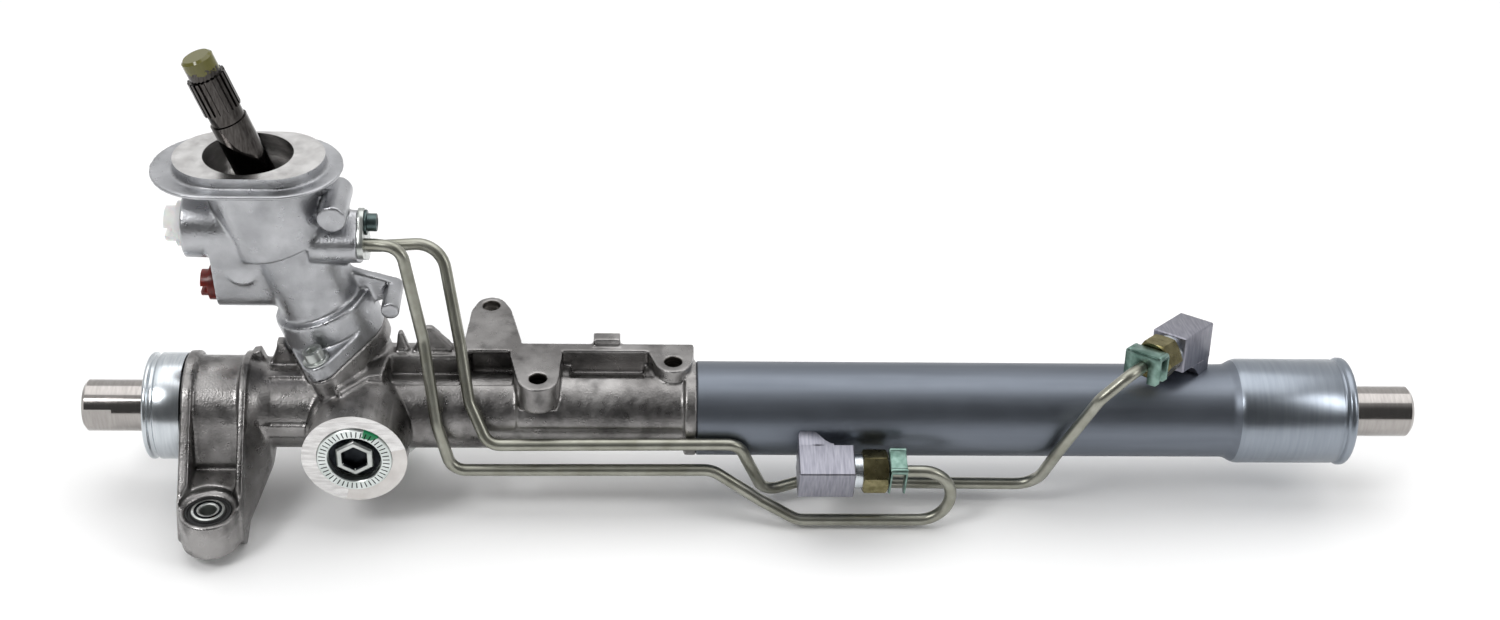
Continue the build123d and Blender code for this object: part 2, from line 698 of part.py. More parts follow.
flank_radii = [base_radius + (tip_radius - base_radius) * step / 4 for step in range(5)]
with BuildPart() as pinion_shaft:
    rod(leaning, pinion_root, -pinion_half_face, pinion_half_face)
    with BuildSketch(leaning.offset(-pinion_half_face)) as teeth:
        with BuildLine():
            left = Spline(*[flank_point(radius, -1) for radius in flank_radii])
            right = Spline(*[flank_point(radius, 1) for radius in flank_radii])
            ThreePointArc(left @ 1, (0, -tip_radius), right @ 1)
            Polyline(left @ 0, (-0.9, -pinion_root + 1), (0.9, -pinion_root + 1), right @ 0)
        make_face()
    tooth = teeth.sketch
    for index in range(pinion_teeth):
        turn = Axis(leaning.origin, leaning.z_dir)
        extrude(tooth.rotate(turn, index * 360 / pinion_teeth), amount=2 * pinion_half_face)
    rod(leaning, lower_journal, -33, -pinion_half_face)
    rod(leaning, 7.6, -20 + 0.5, -pinion_half_face)
    rod(leaning, upper_journal, pinion_half_face, 45)
    rod(leaning, 13, 38, sleeve_bottom)
    rod(leaning, 8.2, 26, sleeve_bottom, Mode.SUBTRACT)
    rod(leaning, torsion_radius, 16, sleeve_bottom, Mode.SUBTRACT)
keep(pinion_shaft, "pinion_shaft")

with BuildPart() as lower_bearing:
    ring(leaning, lower_journal, lower_bearing_radius, lower_bearing_top - lower_bearing_width, lower_bearing_top)
keep(lower_bearing, "lower_bearing")

with BuildPart() as upper_bearing:
    bearing_top = upper_bearing_bottom + upper_bearing_width
    ring(leaning, upper_journal + running_fit, upper_bearing_radius, upper_bearing_bottom, bearing_top)
keep(upper_bearing, "upper_bearing")

with BuildPart() as lower_cap:
    rod(leaning, lower_bearing_radius, -34 - 2.5, -34)
    rod(leaning, 16.5, -36.5, -34)
keep(lower_cap, "lower_cap")

# Rotary valve: sleeve with three sealing rings, pinned to the pinion
with BuildPart() as valve_sleeve:
    ring(leaning, spool_radius + running_fit, sleeve_radius - 0.6, sleeve_bottom, sleeve_top)
    for station in (54, 66, 78, 90):
        ring(leaning, 14, sleeve_radius, station - 1.5, station + 1.5, Mode.SUBTRACT)
keep(valve_sleeve, "valve_sleeve")

with BuildPart() as sleeve_rings:
    for station in (54, 66, 78, 90):
        ring(leaning, 14, sleeve_radius, station - 1.5, station + 1.5)
keep(sleeve_rings, "sleeve_rings")

# Input shaft: spool in the sleeve, plain shaft, splines and a rounded tip
with BuildPart() as input_shaft:
    rod(leaning, 8.2 - running_fit, 28, sleeve_bottom + 1)
    rod(leaning, spool_radius, sleeve_bottom + 1, sleeve_top + 1)
    rod(leaning, shaft_radius, sleeve_top, neck_start)
    rod(leaning, neck_radius, neck_start, spline_start)
    rod(leaning, spline_radius - spline_depth, spline_start, spline_end)
    with BuildSketch(leaning.offset(spline_start)) as splines:
        with PolarLocations(spline_radius - spline_depth - 0.5, spline_teeth):
            Rectangle(2 * (spline_depth + 0.5), 1.5)
        Circle(spline_radius, mode=Mode.INTERSECT)
    extrude(splines.sketch, amount=spline_end - spline_start)
    rod(leaning, neck_radius - 0.6, spline_end, shaft_tip)
    chamfer(input_shaft.edges().filter_by(GeomType.CIRCLE).sort_by(Axis.Z)[-1], 1.2)
    rod(leaning, torsion_radius + loose_fit, 28, 186, Mode.SUBTRACT)
keep(input_shaft, "input_shaft")

with BuildPart() as torsion_bar:
    rod(leaning, torsion_radius, 16, 30)
    rod(leaning, torsion_radius - 0.8, 30, 170)
    rod(leaning, torsion_radius, 170, 186)
keep(torsion_bar, "torsion_bar")

with BuildPart() as input_seal:
    ring(leaning, shaft_radius + running_fit, 17.0, 105, 113)
keep(input_seal, "input_seal")

with BuildPart() as input_bearing:
    ring(leaning, shaft_radius + running_fit, sleeve_radius, 96.5, 104)
keep(input_bearing, "input_bearing")
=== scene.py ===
import bpy
import math
from mathutils import Matrix, Vector


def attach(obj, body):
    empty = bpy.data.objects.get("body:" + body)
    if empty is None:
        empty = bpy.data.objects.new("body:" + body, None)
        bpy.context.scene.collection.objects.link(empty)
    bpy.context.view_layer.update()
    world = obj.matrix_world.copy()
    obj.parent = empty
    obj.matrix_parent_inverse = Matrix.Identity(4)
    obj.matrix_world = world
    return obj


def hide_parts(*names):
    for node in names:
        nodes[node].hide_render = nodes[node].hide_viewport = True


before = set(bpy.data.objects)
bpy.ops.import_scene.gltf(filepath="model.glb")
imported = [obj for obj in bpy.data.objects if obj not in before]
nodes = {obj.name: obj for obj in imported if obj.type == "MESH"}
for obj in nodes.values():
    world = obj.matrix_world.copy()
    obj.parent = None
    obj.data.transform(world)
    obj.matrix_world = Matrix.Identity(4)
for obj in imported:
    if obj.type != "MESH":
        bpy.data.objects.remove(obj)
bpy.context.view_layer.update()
mm = 0.001
print("frame loaded:", len(nodes), "nodes")

# camera and studio

view = {
    "focalPixels": 2092.7, "imageWidth": 1500, "sensorWidth": 36,
    # degrees round the object, above it, and about the line of sight
    "azimuth": -3.673, "elevation": 33.898, "roll": 2.471,
    # metres: the place looked at, how far the view is raised above it, and the camera's distance
    "target": (0.193163, 0.0, 0.0), "rise": 0.050096, "distance": 1.06827,
}


def makeCamera():
    azimuth, elevation, roll = [math.radians(view[key]) for key in ("azimuth", "elevation", "roll")]
    level = math.cos(elevation)
    back = Vector((math.sin(azimuth) * level, -math.cos(azimuth) * level, math.sin(elevation)))
    right = Vector((math.cos(azimuth), math.sin(azimuth), 0))
    up = back.cross(right)
    tiltedRight = right * math.cos(roll) + up * math.sin(roll)
    tiltedUp = up * math.cos(roll) - right * math.sin(roll)
    place = Vector(view["target"]) + up * view["rise"] + back * view["distance"]
    data = bpy.data.cameras.new("camera")
    data.sensor_width = view["sensorWidth"]
    data.lens = view["focalPixels"] / view["imageWidth"] * data.sensor_width
    camera = bpy.data.objects.new("camera", data)
    bpy.context.collection.objects.link(camera)
    turn = Matrix((tiltedRight, tiltedUp, back)).transposed().to_4x4()
    camera.matrix_world = Matrix.Translation(place) @ turn
    bpy.context.scene.camera = camera


studio = {
    "floorMiddle": (0.2, 0), "floorHeight": -0.0475, "floorSize": 40.0,
    "floorColour": "#FFFFFF", "floorRoughness": 0.9,
    # brightness of the room in front of the object, and behind it and overhead
    "frontSky": 0.10, "backSky": 0.85,
    # the way to the bright side, and where along it the brightness starts and stops rising
    "skyDirection": (0, 0.8, 0.6), "skyFrom": -0.15, "skyTo": 0.75,
    # name: place, aimed at, width, height, watts
    "lamps": {
        "keyLamp": ((-0.75, -0.75, 1.25), (0.1, 0, 0), 0.5, 0.5, 8.5),
        "topLamp": ((0.25, 0.35, 1.5), (0.2, 0, 0), 2.2, 1.4, 12),
        "rightLamp": ((1.4, -0.5, 0.8), (0.35, 0, 0), 0.35, 0.7, 4.5),
    },
}


def linear(colour):
    channels = [int(colour[i:i + 2], 16) / 255 for i in (1, 3, 5)]
    values = [c / 12.92 if c <= 0.04045 else ((c + 0.055) / 1.055) ** 2.4 for c in channels]
    return (*values, 1)


def addNode(tree, kind, inputs=None, **settings):
    node = tree.nodes.new(kind)
    for key, value in settings.items():
        setattr(node, key, value)
    for key, value in (inputs or {}).items():
        if isinstance(value, bpy.types.NodeSocket):
            tree.links.new(value, node.inputs[key])
        else:
            node.inputs[key].default_value = value
    return node


def startMaterial(name, metallic=0.0, translucent=0.0):
    material = bpy.data.materials.new(name)
    material.use_nodes = True
    shader = material.node_tree.nodes["Principled BSDF"]
    shader.inputs["Metallic"].default_value = metallic
    shader.inputs["Subsurface Weight"].default_value = translucent
    return material, material.node_tree, shader


def makeStudio():
    floorMaterial, _, shader = startMaterial("studioFloor")
    shader.inputs["Base Color"].default_value = linear(studio["floorColour"])
    shader.inputs["Roughness"].default_value = studio["floorRoughness"]
    bpy.ops.object.select_all(action="DESELECT")
    bpy.ops.mesh.primitive_plane_add(size=studio["floorSize"],
                                     location=(*studio["floorMiddle"], studio["floorHeight"]))
    floor = bpy.context.object
    floor.name = "floor"
    floor.data.materials.append(floorMaterial)
    for name, (place, aim, width, height, watts) in studio["lamps"].items():
        data = bpy.data.lights.new(name, "AREA")
        data.shape = "RECTANGLE"
        data.size, data.size_y = width, height
        data.energy = watts
        lamp = bpy.data.objects.new(name, data)
        bpy.context.collection.objects.link(lamp)
        lamp.location = place
        lamp.rotation_euler = (Vector(aim) - Vector(place)).to_track_quat("-Z", "Y").to_euler()
    world = bpy.context.scene.world or bpy.data.worlds.new("studio")
    bpy.context.scene.world = world
    world.use_nodes = True
    tree = world.node_tree
    sky = tree.nodes["Background"]
    # a dark room in front and bright walls behind and above, so that the metals read as metal
    direction = addNode(tree, "ShaderNodeTexCoord").outputs["Generated"]
    toBack = addNode(tree, "ShaderNodeVectorMath", {0: direction, 1: studio["skyDirection"]},
                     operation="DOT_PRODUCT")
    strength = addNode(tree, "ShaderNodeMapRange", {
        "Value": toBack.outputs["Value"],
        "From Min": studio["skyFrom"], "From Max": studio["skyTo"],
        "To Min": studio["frontSky"], "To Max": studio["backSky"],
    }, interpolation_type="SMOOTHSTEP")
    tree.links.new(strength.outputs["Result"], sky.inputs["Strength"])
    sky.inputs["Color"].default_value = (1, 1, 1, 1)


makeCamera()
makeStudio()
bpy.context.scene.view_settings.view_transform = "Standard"
print("camera and studio ready")

# materials


# Object coordinates with a pattern's own stretch
def mapped(tree, scale):
    coordinates = addNode(tree, "ShaderNodeTexCoord").outputs["Object"]
    return addNode(tree, "ShaderNodeMapping", {"Vector": coordinates, "Scale": scale}).outputs[0]


# Noise remapped between two values; the size is that of one patch in millimetres
def noiseBetween(tree, size, low, high, stretch=(1, 1, 1), detail=3, fromLow=0.35, fromHigh=0.65):
    noise = addNode(tree, "ShaderNodeTexNoise", {
        "Vector": mapped(tree, stretch), "Scale": 1000 / size, "Detail": detail,
    })
    return addNode(tree, "ShaderNodeMapRange", {
        "Value": noise.outputs["Fac"], "From Min": fromLow, "From Max": fromHigh,
        "To Min": low, "To Max": high,
    }).outputs["Result"]


# Two colours mixed, each a hex value or another node's colour; inputs 6 and 7 are the colours
def mixColours(tree, factor, first, second):
    node = addNode(tree, "ShaderNodeMix", data_type="RGBA")
    tree.links.new(factor, node.inputs["Factor"])
    for index, value in ((6, first), (7, second)):
        if isinstance(value, str):
            node.inputs[index].default_value = linear(value)
        else:
            tree.links.new(value, node.inputs[index])
    return node.outputs[2]


def addBump(tree, shader, height, strength, distance):
    bump = addNode(tree, "ShaderNodeBump",
                   {"Height": height, "Strength": strength, "Distance": distance})
    tree.links.new(bump.outputs["Normal"], shader.inputs["Normal"])


# Gloss that changes from patch to patch
def addGloss(tree, shader, size, low, high):
    tree.links.new(noiseBetween(tree, size, low, high), shader.inputs["Roughness"])


# How far a surface bulges, as a ramp between two values; castMetal uses it for lighter sharp edges
# and for painted shade in hollows
def bulgeRamp(tree, low, high):
    geometry = addNode(tree, "ShaderNodeNewGeometry")
    return addNode(tree, "ShaderNodeMapRange", {
        "Value": geometry.outputs["Pointiness"], "From Min": low, "From Max": high,
    }).outputs["Result"]


paints = {
    # a green dab across the lock ring's edge, and the yellow-green tip of the shaft
    "green": {"colour": "#0E7A4A", "middle": (8.6, -43.5, 15.4), "reach": (4.3, 3.0, 3.3)},
    "yellow": {"colour": "#5F5C2A", "middle": (-66.5, 15.9, 187.5), "reach": (12, 12, 7.5)},
    # the waves of a dab's edge and how far they go, and how sharp the edge is
    "waveSize": 3, "wave": 0.15, "edgeOuter": 1.02, "edgeInner": 0.95,
}


# Where a dab of paint lies: one inside it and nothing outside, with an uneven edge
def paintDab(tree, paint):
    coordinates = addNode(tree, "ShaderNodeTexCoord").outputs["Object"]
    offset = addNode(tree, "ShaderNodeVectorMath",
                     {0: coordinates, 1: [-v * mm for v in paint["middle"]]}, operation="ADD")
    scaled = addNode(tree, "ShaderNodeVectorMath",
                     {0: offset.outputs[0], 1: [1 / (r * mm) for r in paint["reach"]]},
                     operation="MULTIPLY")
    length = addNode(tree, "ShaderNodeVectorMath", {0: scaled.outputs[0]}, operation="LENGTH")
    wobble = noiseBetween(tree, paints["waveSize"], -paints["wave"], paints["wave"])
    edge = addNode(tree, "ShaderNodeMath", {0: length.outputs["Value"], 1: wobble}, operation="ADD")
    return addNode(tree, "ShaderNodeMapRange", {
        "Value": edge.outputs[0], "From Min": paints["edgeOuter"], "From Max": paints["edgeInner"],
        "To Min": 0.0, "To Max": 1.0,
    }).outputs["Result"]


# Lays a dab over a finished metal: the paint's colour, and no metal under it
def layPaint(material, paint):
    tree = material.node_tree
    shader = tree.nodes["Principled BSDF"]
    mask = paintDab(tree, paint)
    under = shader.inputs["Base Color"].links[0].from_socket
    tree.links.new(mixColours(tree, mask, under, paint["colour"]), shader.inputs["Base Color"])
    bare = addNode(tree, "ShaderNodeMath", {0: 1.0, 1: mask}, operation="SUBTRACT").outputs[0]
    tree.links.new(bare, shader.inputs["Metallic"])


surface = {
    # cast metal: patch sizes of blotches, stains and gloss, and the grain's depth
    "blotch": 22, "stain": 14, "stainFrom": 0.52, "stainTo": 0.68, "sheen": 5,
    "grainDepth": 0.0002,
    # how far a surface bulges where the lighter edges start and are full, and where the painted
    # shade in hollows does
    "lighterEdge": (0.52, 0.58), "shadedHollow": (0.48, 0.44),
    # other finishes: patch sizes of clouds, gloss and fine relief, and its depth
    "linedSheen": 12, "platedSheen": 3, "platedRelief": 0.7, "reliefDepth": 0.00002,
    "polymerCloud": 7, "polymerSheen": 4, "polymerRelief": 1.1, "polymerDepth": 0.00003,
}


# Cast metal: a fine grain of sand or shot, blotches, stains, painted shade in hollows and lighter
# sharp edges
def castMetal(name, light, dark, soilAndShade, roughness, grit, soilAmount, bump):
    material, tree, shader = startMaterial(name, metallic=1.0)
    blotch = noiseBetween(tree, surface["blotch"], 0, 1, detail=5)
    stain = noiseBetween(tree, surface["stain"], 0, soilAmount, detail=8,
                         fromLow=surface["stainFrom"], fromHigh=surface["stainTo"])
    body = mixColours(tree, stain, mixColours(tree, blotch, light, dark), soilAndShade)
    lighterEdges = mixColours(tree, bulgeRamp(tree, *surface["lighterEdge"]), body, light)
    # painted shade: creases and hollows darkened
    shadedHollow = mixColours(tree, bulgeRamp(tree, *surface["shadedHollow"]), lighterEdges, soilAndShade)
    tree.links.new(shadedHollow, shader.inputs["Base Color"])
    addGloss(tree, shader, surface["sheen"], roughness - 0.06, roughness + 0.08)
    addBump(tree, shader, noiseBetween(tree, grit, 0, 1), bump, grit * surface["grainDepth"])
    return material


# Machined or drawn metal: fine lines, close together across them and long along them
def linedMetal(name, light, dark, roughness, spacing, stretch, strength=0.15):
    material, tree, shader = startMaterial(name, metallic=1.0)
    lines = noiseBetween(tree, spacing, 0, 1, stretch=stretch, detail=2, fromLow=0.3, fromHigh=0.7)
    tree.links.new(mixColours(tree, lines, light, dark), shader.inputs["Base Color"])
    addGloss(tree, shader, surface["linedSheen"], roughness - 0.01, roughness + 0.02)
    addBump(tree, shader, lines, strength, surface["reliefDepth"])
    return material


# Plated or coated metal with slight clouds in colour and gloss
def platedMetal(name, light, dark, roughness, cloud=8):
    material, tree, shader = startMaterial(name, metallic=1.0)
    clouds = noiseBetween(tree, cloud, 0, 1)
    tree.links.new(mixColours(tree, clouds, light, dark), shader.inputs["Base Color"])
    addGloss(tree, shader, surface["platedSheen"], roughness - 0.02, roughness + 0.03)
    relief = noiseBetween(tree, surface["platedRelief"], 0, 1)
    addBump(tree, shader, relief, 0.1, surface["reliefDepth"])
    return material


def plainPolymer(name, light, dark, roughness, translucent=0.0):
    material, tree, shader = startMaterial(name, translucent=translucent)
    clouds = noiseBetween(tree, surface["polymerCloud"], 0, 1)
    tree.links.new(mixColours(tree, clouds, light, dark), shader.inputs["Base Color"])
    addGloss(tree, shader, surface["polymerSheen"], roughness - 0.05, roughness + 0.05)
    relief = noiseBetween(tree, surface["polymerRelief"], 0, 1)
    addBump(tree, shader, relief, 0.15, surface["polymerDepth"])
    return material


def makeMaterials():
    made = {
        # die-cast aluminium, handled and slightly oily: mid grey with dark smudges, lighter sharp
        # edges and painted shade in hollows
        "castHousing": castMetal("dieCastAluminium", "#9E9C9B", "#757372", "#2A2929",
                                 0.32, 1.0, 0.55, 0.25),
        # shot-blasted aluminium: even, bright and finely grained
        "blastedHousing": castMetal("shotBlastedAluminium", "#BCBDC0", "#A0A1A4", "#515254",
                                    0.33, 1.0, 0.15, 0.25),
        # turned on a lathe and left bare: a pale satin face
        "turnedFace": platedMetal("turnedAluminiumFace", "#DAD7D4", "#CCC8C5", 0.40),
        # zinc-plated ring: pale silver with slight clouds
        "ringSteel": platedMetal("zincPlatedLockRing", "#E3E8E6", "#CAD1CE", 0.33),
        # induction-hardened shaft, ground and oiled: dark and mirror-like
        "polishedShaft": linedMetal("inductionHardenedSteel", "#575452", "#3B3836",
                                    0.09, 6, (6, 6, 1), strength=0.01),
        # milled aluminium: fine straight cutter lines, warm grey
        "milledFace": linedMetal("milledAluminiumFace", "#CBC7C4", "#B0ABA8", 0.36, 12, (1, 12, 1)),
        # bored aluminium: bright with rings round the hole
        "boredHole": linedMetal("boredAluminium", "#E6E5E4", "#C4C2C1", 0.24, 8, (1, 1, 6)),
        # tapped hole: painted shade down the threads, with a painted highlight on the crest at each
        # turn
        "tappedHole": linedMetal("paintedShadeThread", "#77736F", "#1C1B1A",
                                 0.4, 8, (0.2, 0.2, 6)),
        # cold-drawn tube, phosphate blue-grey with a soft sheen along it
        "drawnTube": linedMetal("coldDrawnSteelTube", "#767C85", "#6C727B",
                                0.41, 30, (0.3, 4, 4), strength=0.04),
        # the flared cup, burnished by its rolling tool: the same steel, lighter and smoother
        "rolledCup": linedMetal("rolledSteelCup", "#9299A2", "#888F98",
                                0.30, 12, (6, 0.5, 0.5), strength=0.02),
        # hard chrome on a ground bar: near mirror
        "groundBar": linedMetal("hardChromedSteel", "#A8A4A1", "#9C9895",
                                0.13, 8, (8, 1, 1), strength=0.01),
        # milled low-carbon steel: brushed, cool mid grey
        "milledBlock": linedMetal("milledCarbonSteel", "#9C9CA5", "#83838D", 0.42, 10, (10, 1, 1)),
        # turned steel ring: bright, with fine rings round it
        "brightRing": linedMetal("brightTurnedSteel", "#CDD2D6", "#BBC1C6",
                                 0.24, 8, (6, 0.5, 0.5), strength=0.01),
        # zinc plating: pale and slightly clouded
        "zincSteel": platedMetal("zincPlatedSteel", "#CDD0CD", "#AEB2AF", 0.3),
        # blackened zinc: a dark green-grey screw head
        "darkZinc": platedMetal("blackenedZincSteel", "#5F6E6D", "#3E4A4A", 0.34),
        # blue passivation on thin sheet: a teal tint that comes and goes
        "tealZinc": platedMetal("bluePassivatedZinc", "#86A097", "#5D776E", 0.32, cloud=5),
        # olive chromate: brownish green nuts with brighter clouds
        "oliveZinc": platedMetal("oliveChromatedSteel", "#8B8462", "#686243", 0.28, cloud=5),
        # zinc-aluminium coating: warm grey, satin
        "coatedPipe": platedMetal("zincAluminiumCoatedPipe", "#A2A298", "#8E8E83", 0.36, cloud=12),
        # ground bearing steel: smooth and bright
        "bearingSteel": platedMetal("groundBearingSteel", "#C9C8C6", "#AFADAB", 0.2),
        # oiled spring steel: dark, with a dull gloss
        "springSteel": platedMetal("oiledSpringSteel", "#77747A", "#57545A", 0.35),
        # painted shade in recesses, ticks and sockets: nearly black steel
        "shadowSteel": platedMetal("paintedShadeSteel", "#2B2E31", "#15171A", 0.4),
        # nitrile rubber: matt black
        "blackRubber": plainPolymer("nitrileRubber", "#232324", "#151516", 0.6),
        # natural polyethylene: milky white, lets some light in
        "whitePlastic": plainPolymer("naturalPolyethylene", "#F1F0EF", "#E3E2E1", 0.45, 0.3),
        # dyed polyethylene: deep red, slightly glossy
        "redPlastic": plainPolymer("darkRedPolyethylene", "#6E1709", "#4A0E06", 0.35, 0.15),
        # bronze-filled ptfe: a dull brown bearing plastic
        "sealPlastic": plainPolymer("bronzeFilledPtfe", "#6E5F47", "#574A36", 0.5),
    }
    layPaint(made["turnedFace"], paints["green"])
    layPaint(made["ringSteel"], paints["green"])
    layPaint(made["polishedShaft"], paints["yellow"])
    return made


finishes = makeMaterials()
nodeFinishes = {
    "castHousing": ["rack_housing", "yoke", "end_bush"], "blastedHousing": ["valve_housing"],
    "drawnTube": ["cylinder_tube"], "groundBar": ["rack_bar"], "polishedShaft": ["input_shaft"],
    "milledBlock": ["lower_port_block", "upper_port_block"], "brightRing": ["left_boot_seat"],
    "oliveZinc": ["lower_union_nut", "upper_union_nut"], "coatedPipe": ["front_pipe", "rear_pipe"],
    "tealZinc": ["lower_pipe_clip", "upper_pipe_clip"],
    "zincSteel": ["housing_screws", "bracket_sleeve", "pipe_clamp", "adjuster_plug", "lower_cap"],
    "darkZinc": ["pipe_clamp_screw"], "ringSteel": ["lock_ring"],
    "whitePlastic": ["white_cap"], "redPlastic": ["red_cap"],
    "blackRubber": ["bracket_bush", "yoke_o_ring", "pipe_seals", "inner_rack_seal",
                    "outer_rack_seal", "input_seal"],
    "sealPlastic": ["inner_seal_washer", "piston_ring", "sleeve_rings", "yoke_liner"],
    "springSteel": ["yoke_spring", "torsion_bar", "piston_clips"],
    "bearingSteel": ["piston", "pinion_shaft", "valve_sleeve", "lower_bearing", "upper_bearing",
                     "input_bearing"],
}


def dressNodes():
    for finish, names in nodeFinishes.items():
        for name in names:
            slots = nodes[name].data.materials
            for index in range(len(slots)):
                slots[index] = finishes[finish]


dressNodes()
print("materials on", len(nodes), "nodes")

# modelling helpers; all sizes in millimetres

leanAngle = math.radians(19.4)
mergeDistance = 0.002
# faces this many degrees from flat, or less, are made one
flatAngle = 0.5


def frameAt(origin, zAxis, xAxis):
    z = Vector(zAxis).normalized()
    x = Vector(xAxis)
    x = (x - z * x.dot(z)).normalized()
    turn = Matrix((x, z.cross(x), z)).transposed().to_4x4()
    return Matrix.Translation(Vector(origin) * mm) @ turn


planes = {
    "ground": frameAt((0, 0, 0), (0, 0, 1), (1, 0, 0)),
    "across": frameAt((0, 0, 0), (1, 0, 0), (0, 1, 0)),
    "facing": frameAt((0, 0, 0), (0, -1, 0), (1, 0, 0)),
    "leaning": frameAt((0, 15.9, 0), (-math.sin(leanAngle), 0, math.cos(leanAngle)), (1, 0, 0)),
}

# the port blocks' pipe unions: station on the bar's axis, the way out of the tube, the pipe's way
unions = {
    "lower": ((228, 0, 0), (0, -math.cos(math.radians(15)), -math.sin(math.radians(15))),
              (1, 0, 0)),
    "upper": ((416, 0, 0), (0, math.sin(math.radians(10)), math.cos(math.radians(10))),
              (-0.671, -0.73, 0.1287)),
}
unionHeight = 39.75
for side, (station, up, along) in unions.items():
    up, along = Vector(up), Vector(along)
    along = (along - up * along.dot(up)).normalized()
    middle = Vector(station) + up * unionHeight
    planes[side + "Union"] = frameAt(middle, along, up.cross(along))
    planes[side + "Foot"] = frameAt(middle, up.cross(along), along)


def clearSelection():
    bpy.ops.object.select_all(action="DESELECT")


def choose(piece):
    clearSelection()
    piece.select_set(True)
    bpy.context.view_layer.objects.active = piece


def startEdit(piece):
    choose(piece)
    bpy.ops.object.mode_set(mode="EDIT")
    bpy.ops.mesh.select_all(action="SELECT")


def endEdit():
    bpy.ops.object.mode_set(mode="OBJECT")


def applyModifier(piece, kind, **settings):
    choose(piece)
    modifier = piece.modifiers.new(kind.lower(), kind)
    for key, value in settings.items():
        setattr(modifier, key, value)
    bpy.ops.object.modifier_apply(modifier=modifier.name)


def bevelEdges(piece, width, angle=35, segments=2):
    applyModifier(piece, "BEVEL", width=width * mm, segments=segments, limit_method="ANGLE",
                  angle_limit=math.radians(angle))


# Closes a shape, turns its faces outwards and puts it on its plane
def settle(piece, plane):
    startEdit(piece)
    bpy.ops.mesh.remove_doubles(threshold=mergeDistance * mm)
    bpy.ops.mesh.normals_make_consistent(inside=False)
    endEdit()
    piece.matrix_world = planes[plane] @ piece.matrix_world
    bpy.ops.object.transform_apply(location=True, rotation=True, scale=True)
    return piece


# A circle extruded and resized along an outline of heights and radii; a closed outline is a ring
def turnPiece(name, plane, outline, sides=96, centre=(0, 0)):
    clearSelection()
    isRing = outline[0] == outline[-1]
    height, radius = outline[0]
    x, y = centre[0] * mm, centre[1] * mm
    bpy.ops.mesh.primitive_circle_add(vertices=sides, radius=radius * mm,
                                      location=(x, y, height * mm),
                                      fill_type="NOTHING" if isRing else "NGON")
    piece = bpy.context.object
    piece.name = name
    startEdit(piece)
    for (height, radius), (nextHeight, nextRadius) in zip(outline, outline[1:]):
        step = (0, 0, (nextHeight - height) * mm)
        bpy.ops.mesh.extrude_edges_move(TRANSFORM_OT_translate={"value": step})
        grow = nextRadius / radius
        bpy.ops.transform.resize(value=(grow, grow, 1), center_override=(x, y, nextHeight * mm))
    if not isRing:
        bpy.ops.mesh.edge_face_add()
    endEdit()
    return settle(piece, plane)


# The convex hull of some circles, between two heights
def hullBlock(name, plane, circles, low, high, sides=48):
    clearSelection()
    for index, (x, y, radius) in enumerate(circles):
        bpy.ops.mesh.primitive_circle_add(vertices=sides, radius=radius * mm,
                                          location=(x * mm, y * mm, low * mm))
        if index == 0:
            piece = bpy.context.object
            bpy.ops.object.mode_set(mode="EDIT")
    bpy.ops.mesh.select_all(action="SELECT")
    bpy.ops.mesh.extrude_edges_move(TRANSFORM_OT_translate={"value": (0, 0, (high - low) * mm)})
    bpy.ops.mesh.select_all(action="SELECT")
    bpy.ops.mesh.delete(type="EDGE_FACE")
    bpy.ops.mesh.select_all(action="SELECT")
    bpy.ops.mesh.convex_hull()
    endEdit()
    piece.name = name
    return settle(piece, plane)


# A flat outline extruded between two heights
def outlineBlock(name, plane, points, low, high):
    clearSelection()
    bpy.ops.mesh.primitive_circle_add(vertices=len(points), fill_type="NGON")
    piece = bpy.context.object
    piece.name = name
    for vertex, (x, y) in zip(piece.data.vertices, points):
        vertex.co = (x * mm, y * mm, low * mm)
    startEdit(piece)
    bpy.ops.mesh.extrude_region_move(TRANSFORM_OT_translate={"value": (0, 0, (high - low) * mm)})
    endEdit()
    return settle(piece, plane)


def boxBetween(name, low, high):
    corners = [(low[0], low[1]), (high[0], low[1]), (high[0], high[1]), (low[0], high[1])]
    return outlineBlock(name, "ground", corners, low[2], high[2])


def combine(piece, other, operation):
    applyModifier(piece, "BOOLEAN", operation=operation, object=other, solver="EXACT")
    bpy.data.objects.remove(other)


def joinPieces(name, parts):
    clearSelection()
    for part in parts:
        part.select_set(True)
    bpy.context.view_layer.objects.active = parts[0]
    bpy.ops.object.join()
    parts[0].name = name
    return parts[0]


# A node's own mesh as a new piece, its triangles merged and its imported shading dropped
def copyNode(name, node):
    piece = bpy.data.objects.new(name, nodes[node].data.copy())
    bpy.context.collection.objects.link(piece)
    piece.data.materials.clear()
    startEdit(piece)
    bpy.ops.mesh.remove_doubles(threshold=mergeDistance * mm)
    endEdit()
    if piece.data.has_custom_normals:
        bpy.ops.mesh.customdata_custom_splitnormals_clear()
    return piece


# Flat faces made whole again
def mergeFlats(piece):
    startEdit(piece)
    bpy.ops.mesh.dissolve_limited(angle_limit=math.radians(flatAngle))
    endEdit()


# Materials by place: each test gives the faces of the next material
def dress(piece, materials, *tests):
    piece.data.materials.clear()
    for name in materials:
        piece.data.materials.append(finishes[name])
    for face in piece.data.polygons:
        face.material_index = 0
        for index, test in enumerate(tests):
            if test(face.center / mm, face.normal):
                face.material_index = index + 1


# Shades a piece, leaving some materials' faces flat, and gives it its body
def finishPiece(piece, body, slot, *replaced, angle=40, flat=()):
    choose(piece)
    bpy.ops.object.shade_smooth_by_angle(angle=math.radians(angle))
    for face in piece.data.polygons:
        if face.material_index in flat:
            face.use_smooth = False
    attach(piece, body)
    if replaced:
        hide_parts(*replaced)


# A node's own mesh with its edges broken
def bevelNode(name, node, width):
    piece = copyNode(name, node)
    mergeFlats(piece)
    bevelEdges(piece, width)
    return piece


# The same, finished in one material
def showBevelled(name, node, width, material, slot):
    piece = bevelNode(name, node, width)
    dress(piece, [material])
    finishPiece(piece, "housing", slot, node, angle=30)


# castings: both start from their solids, get their smaller cast forms, and are rounded all over

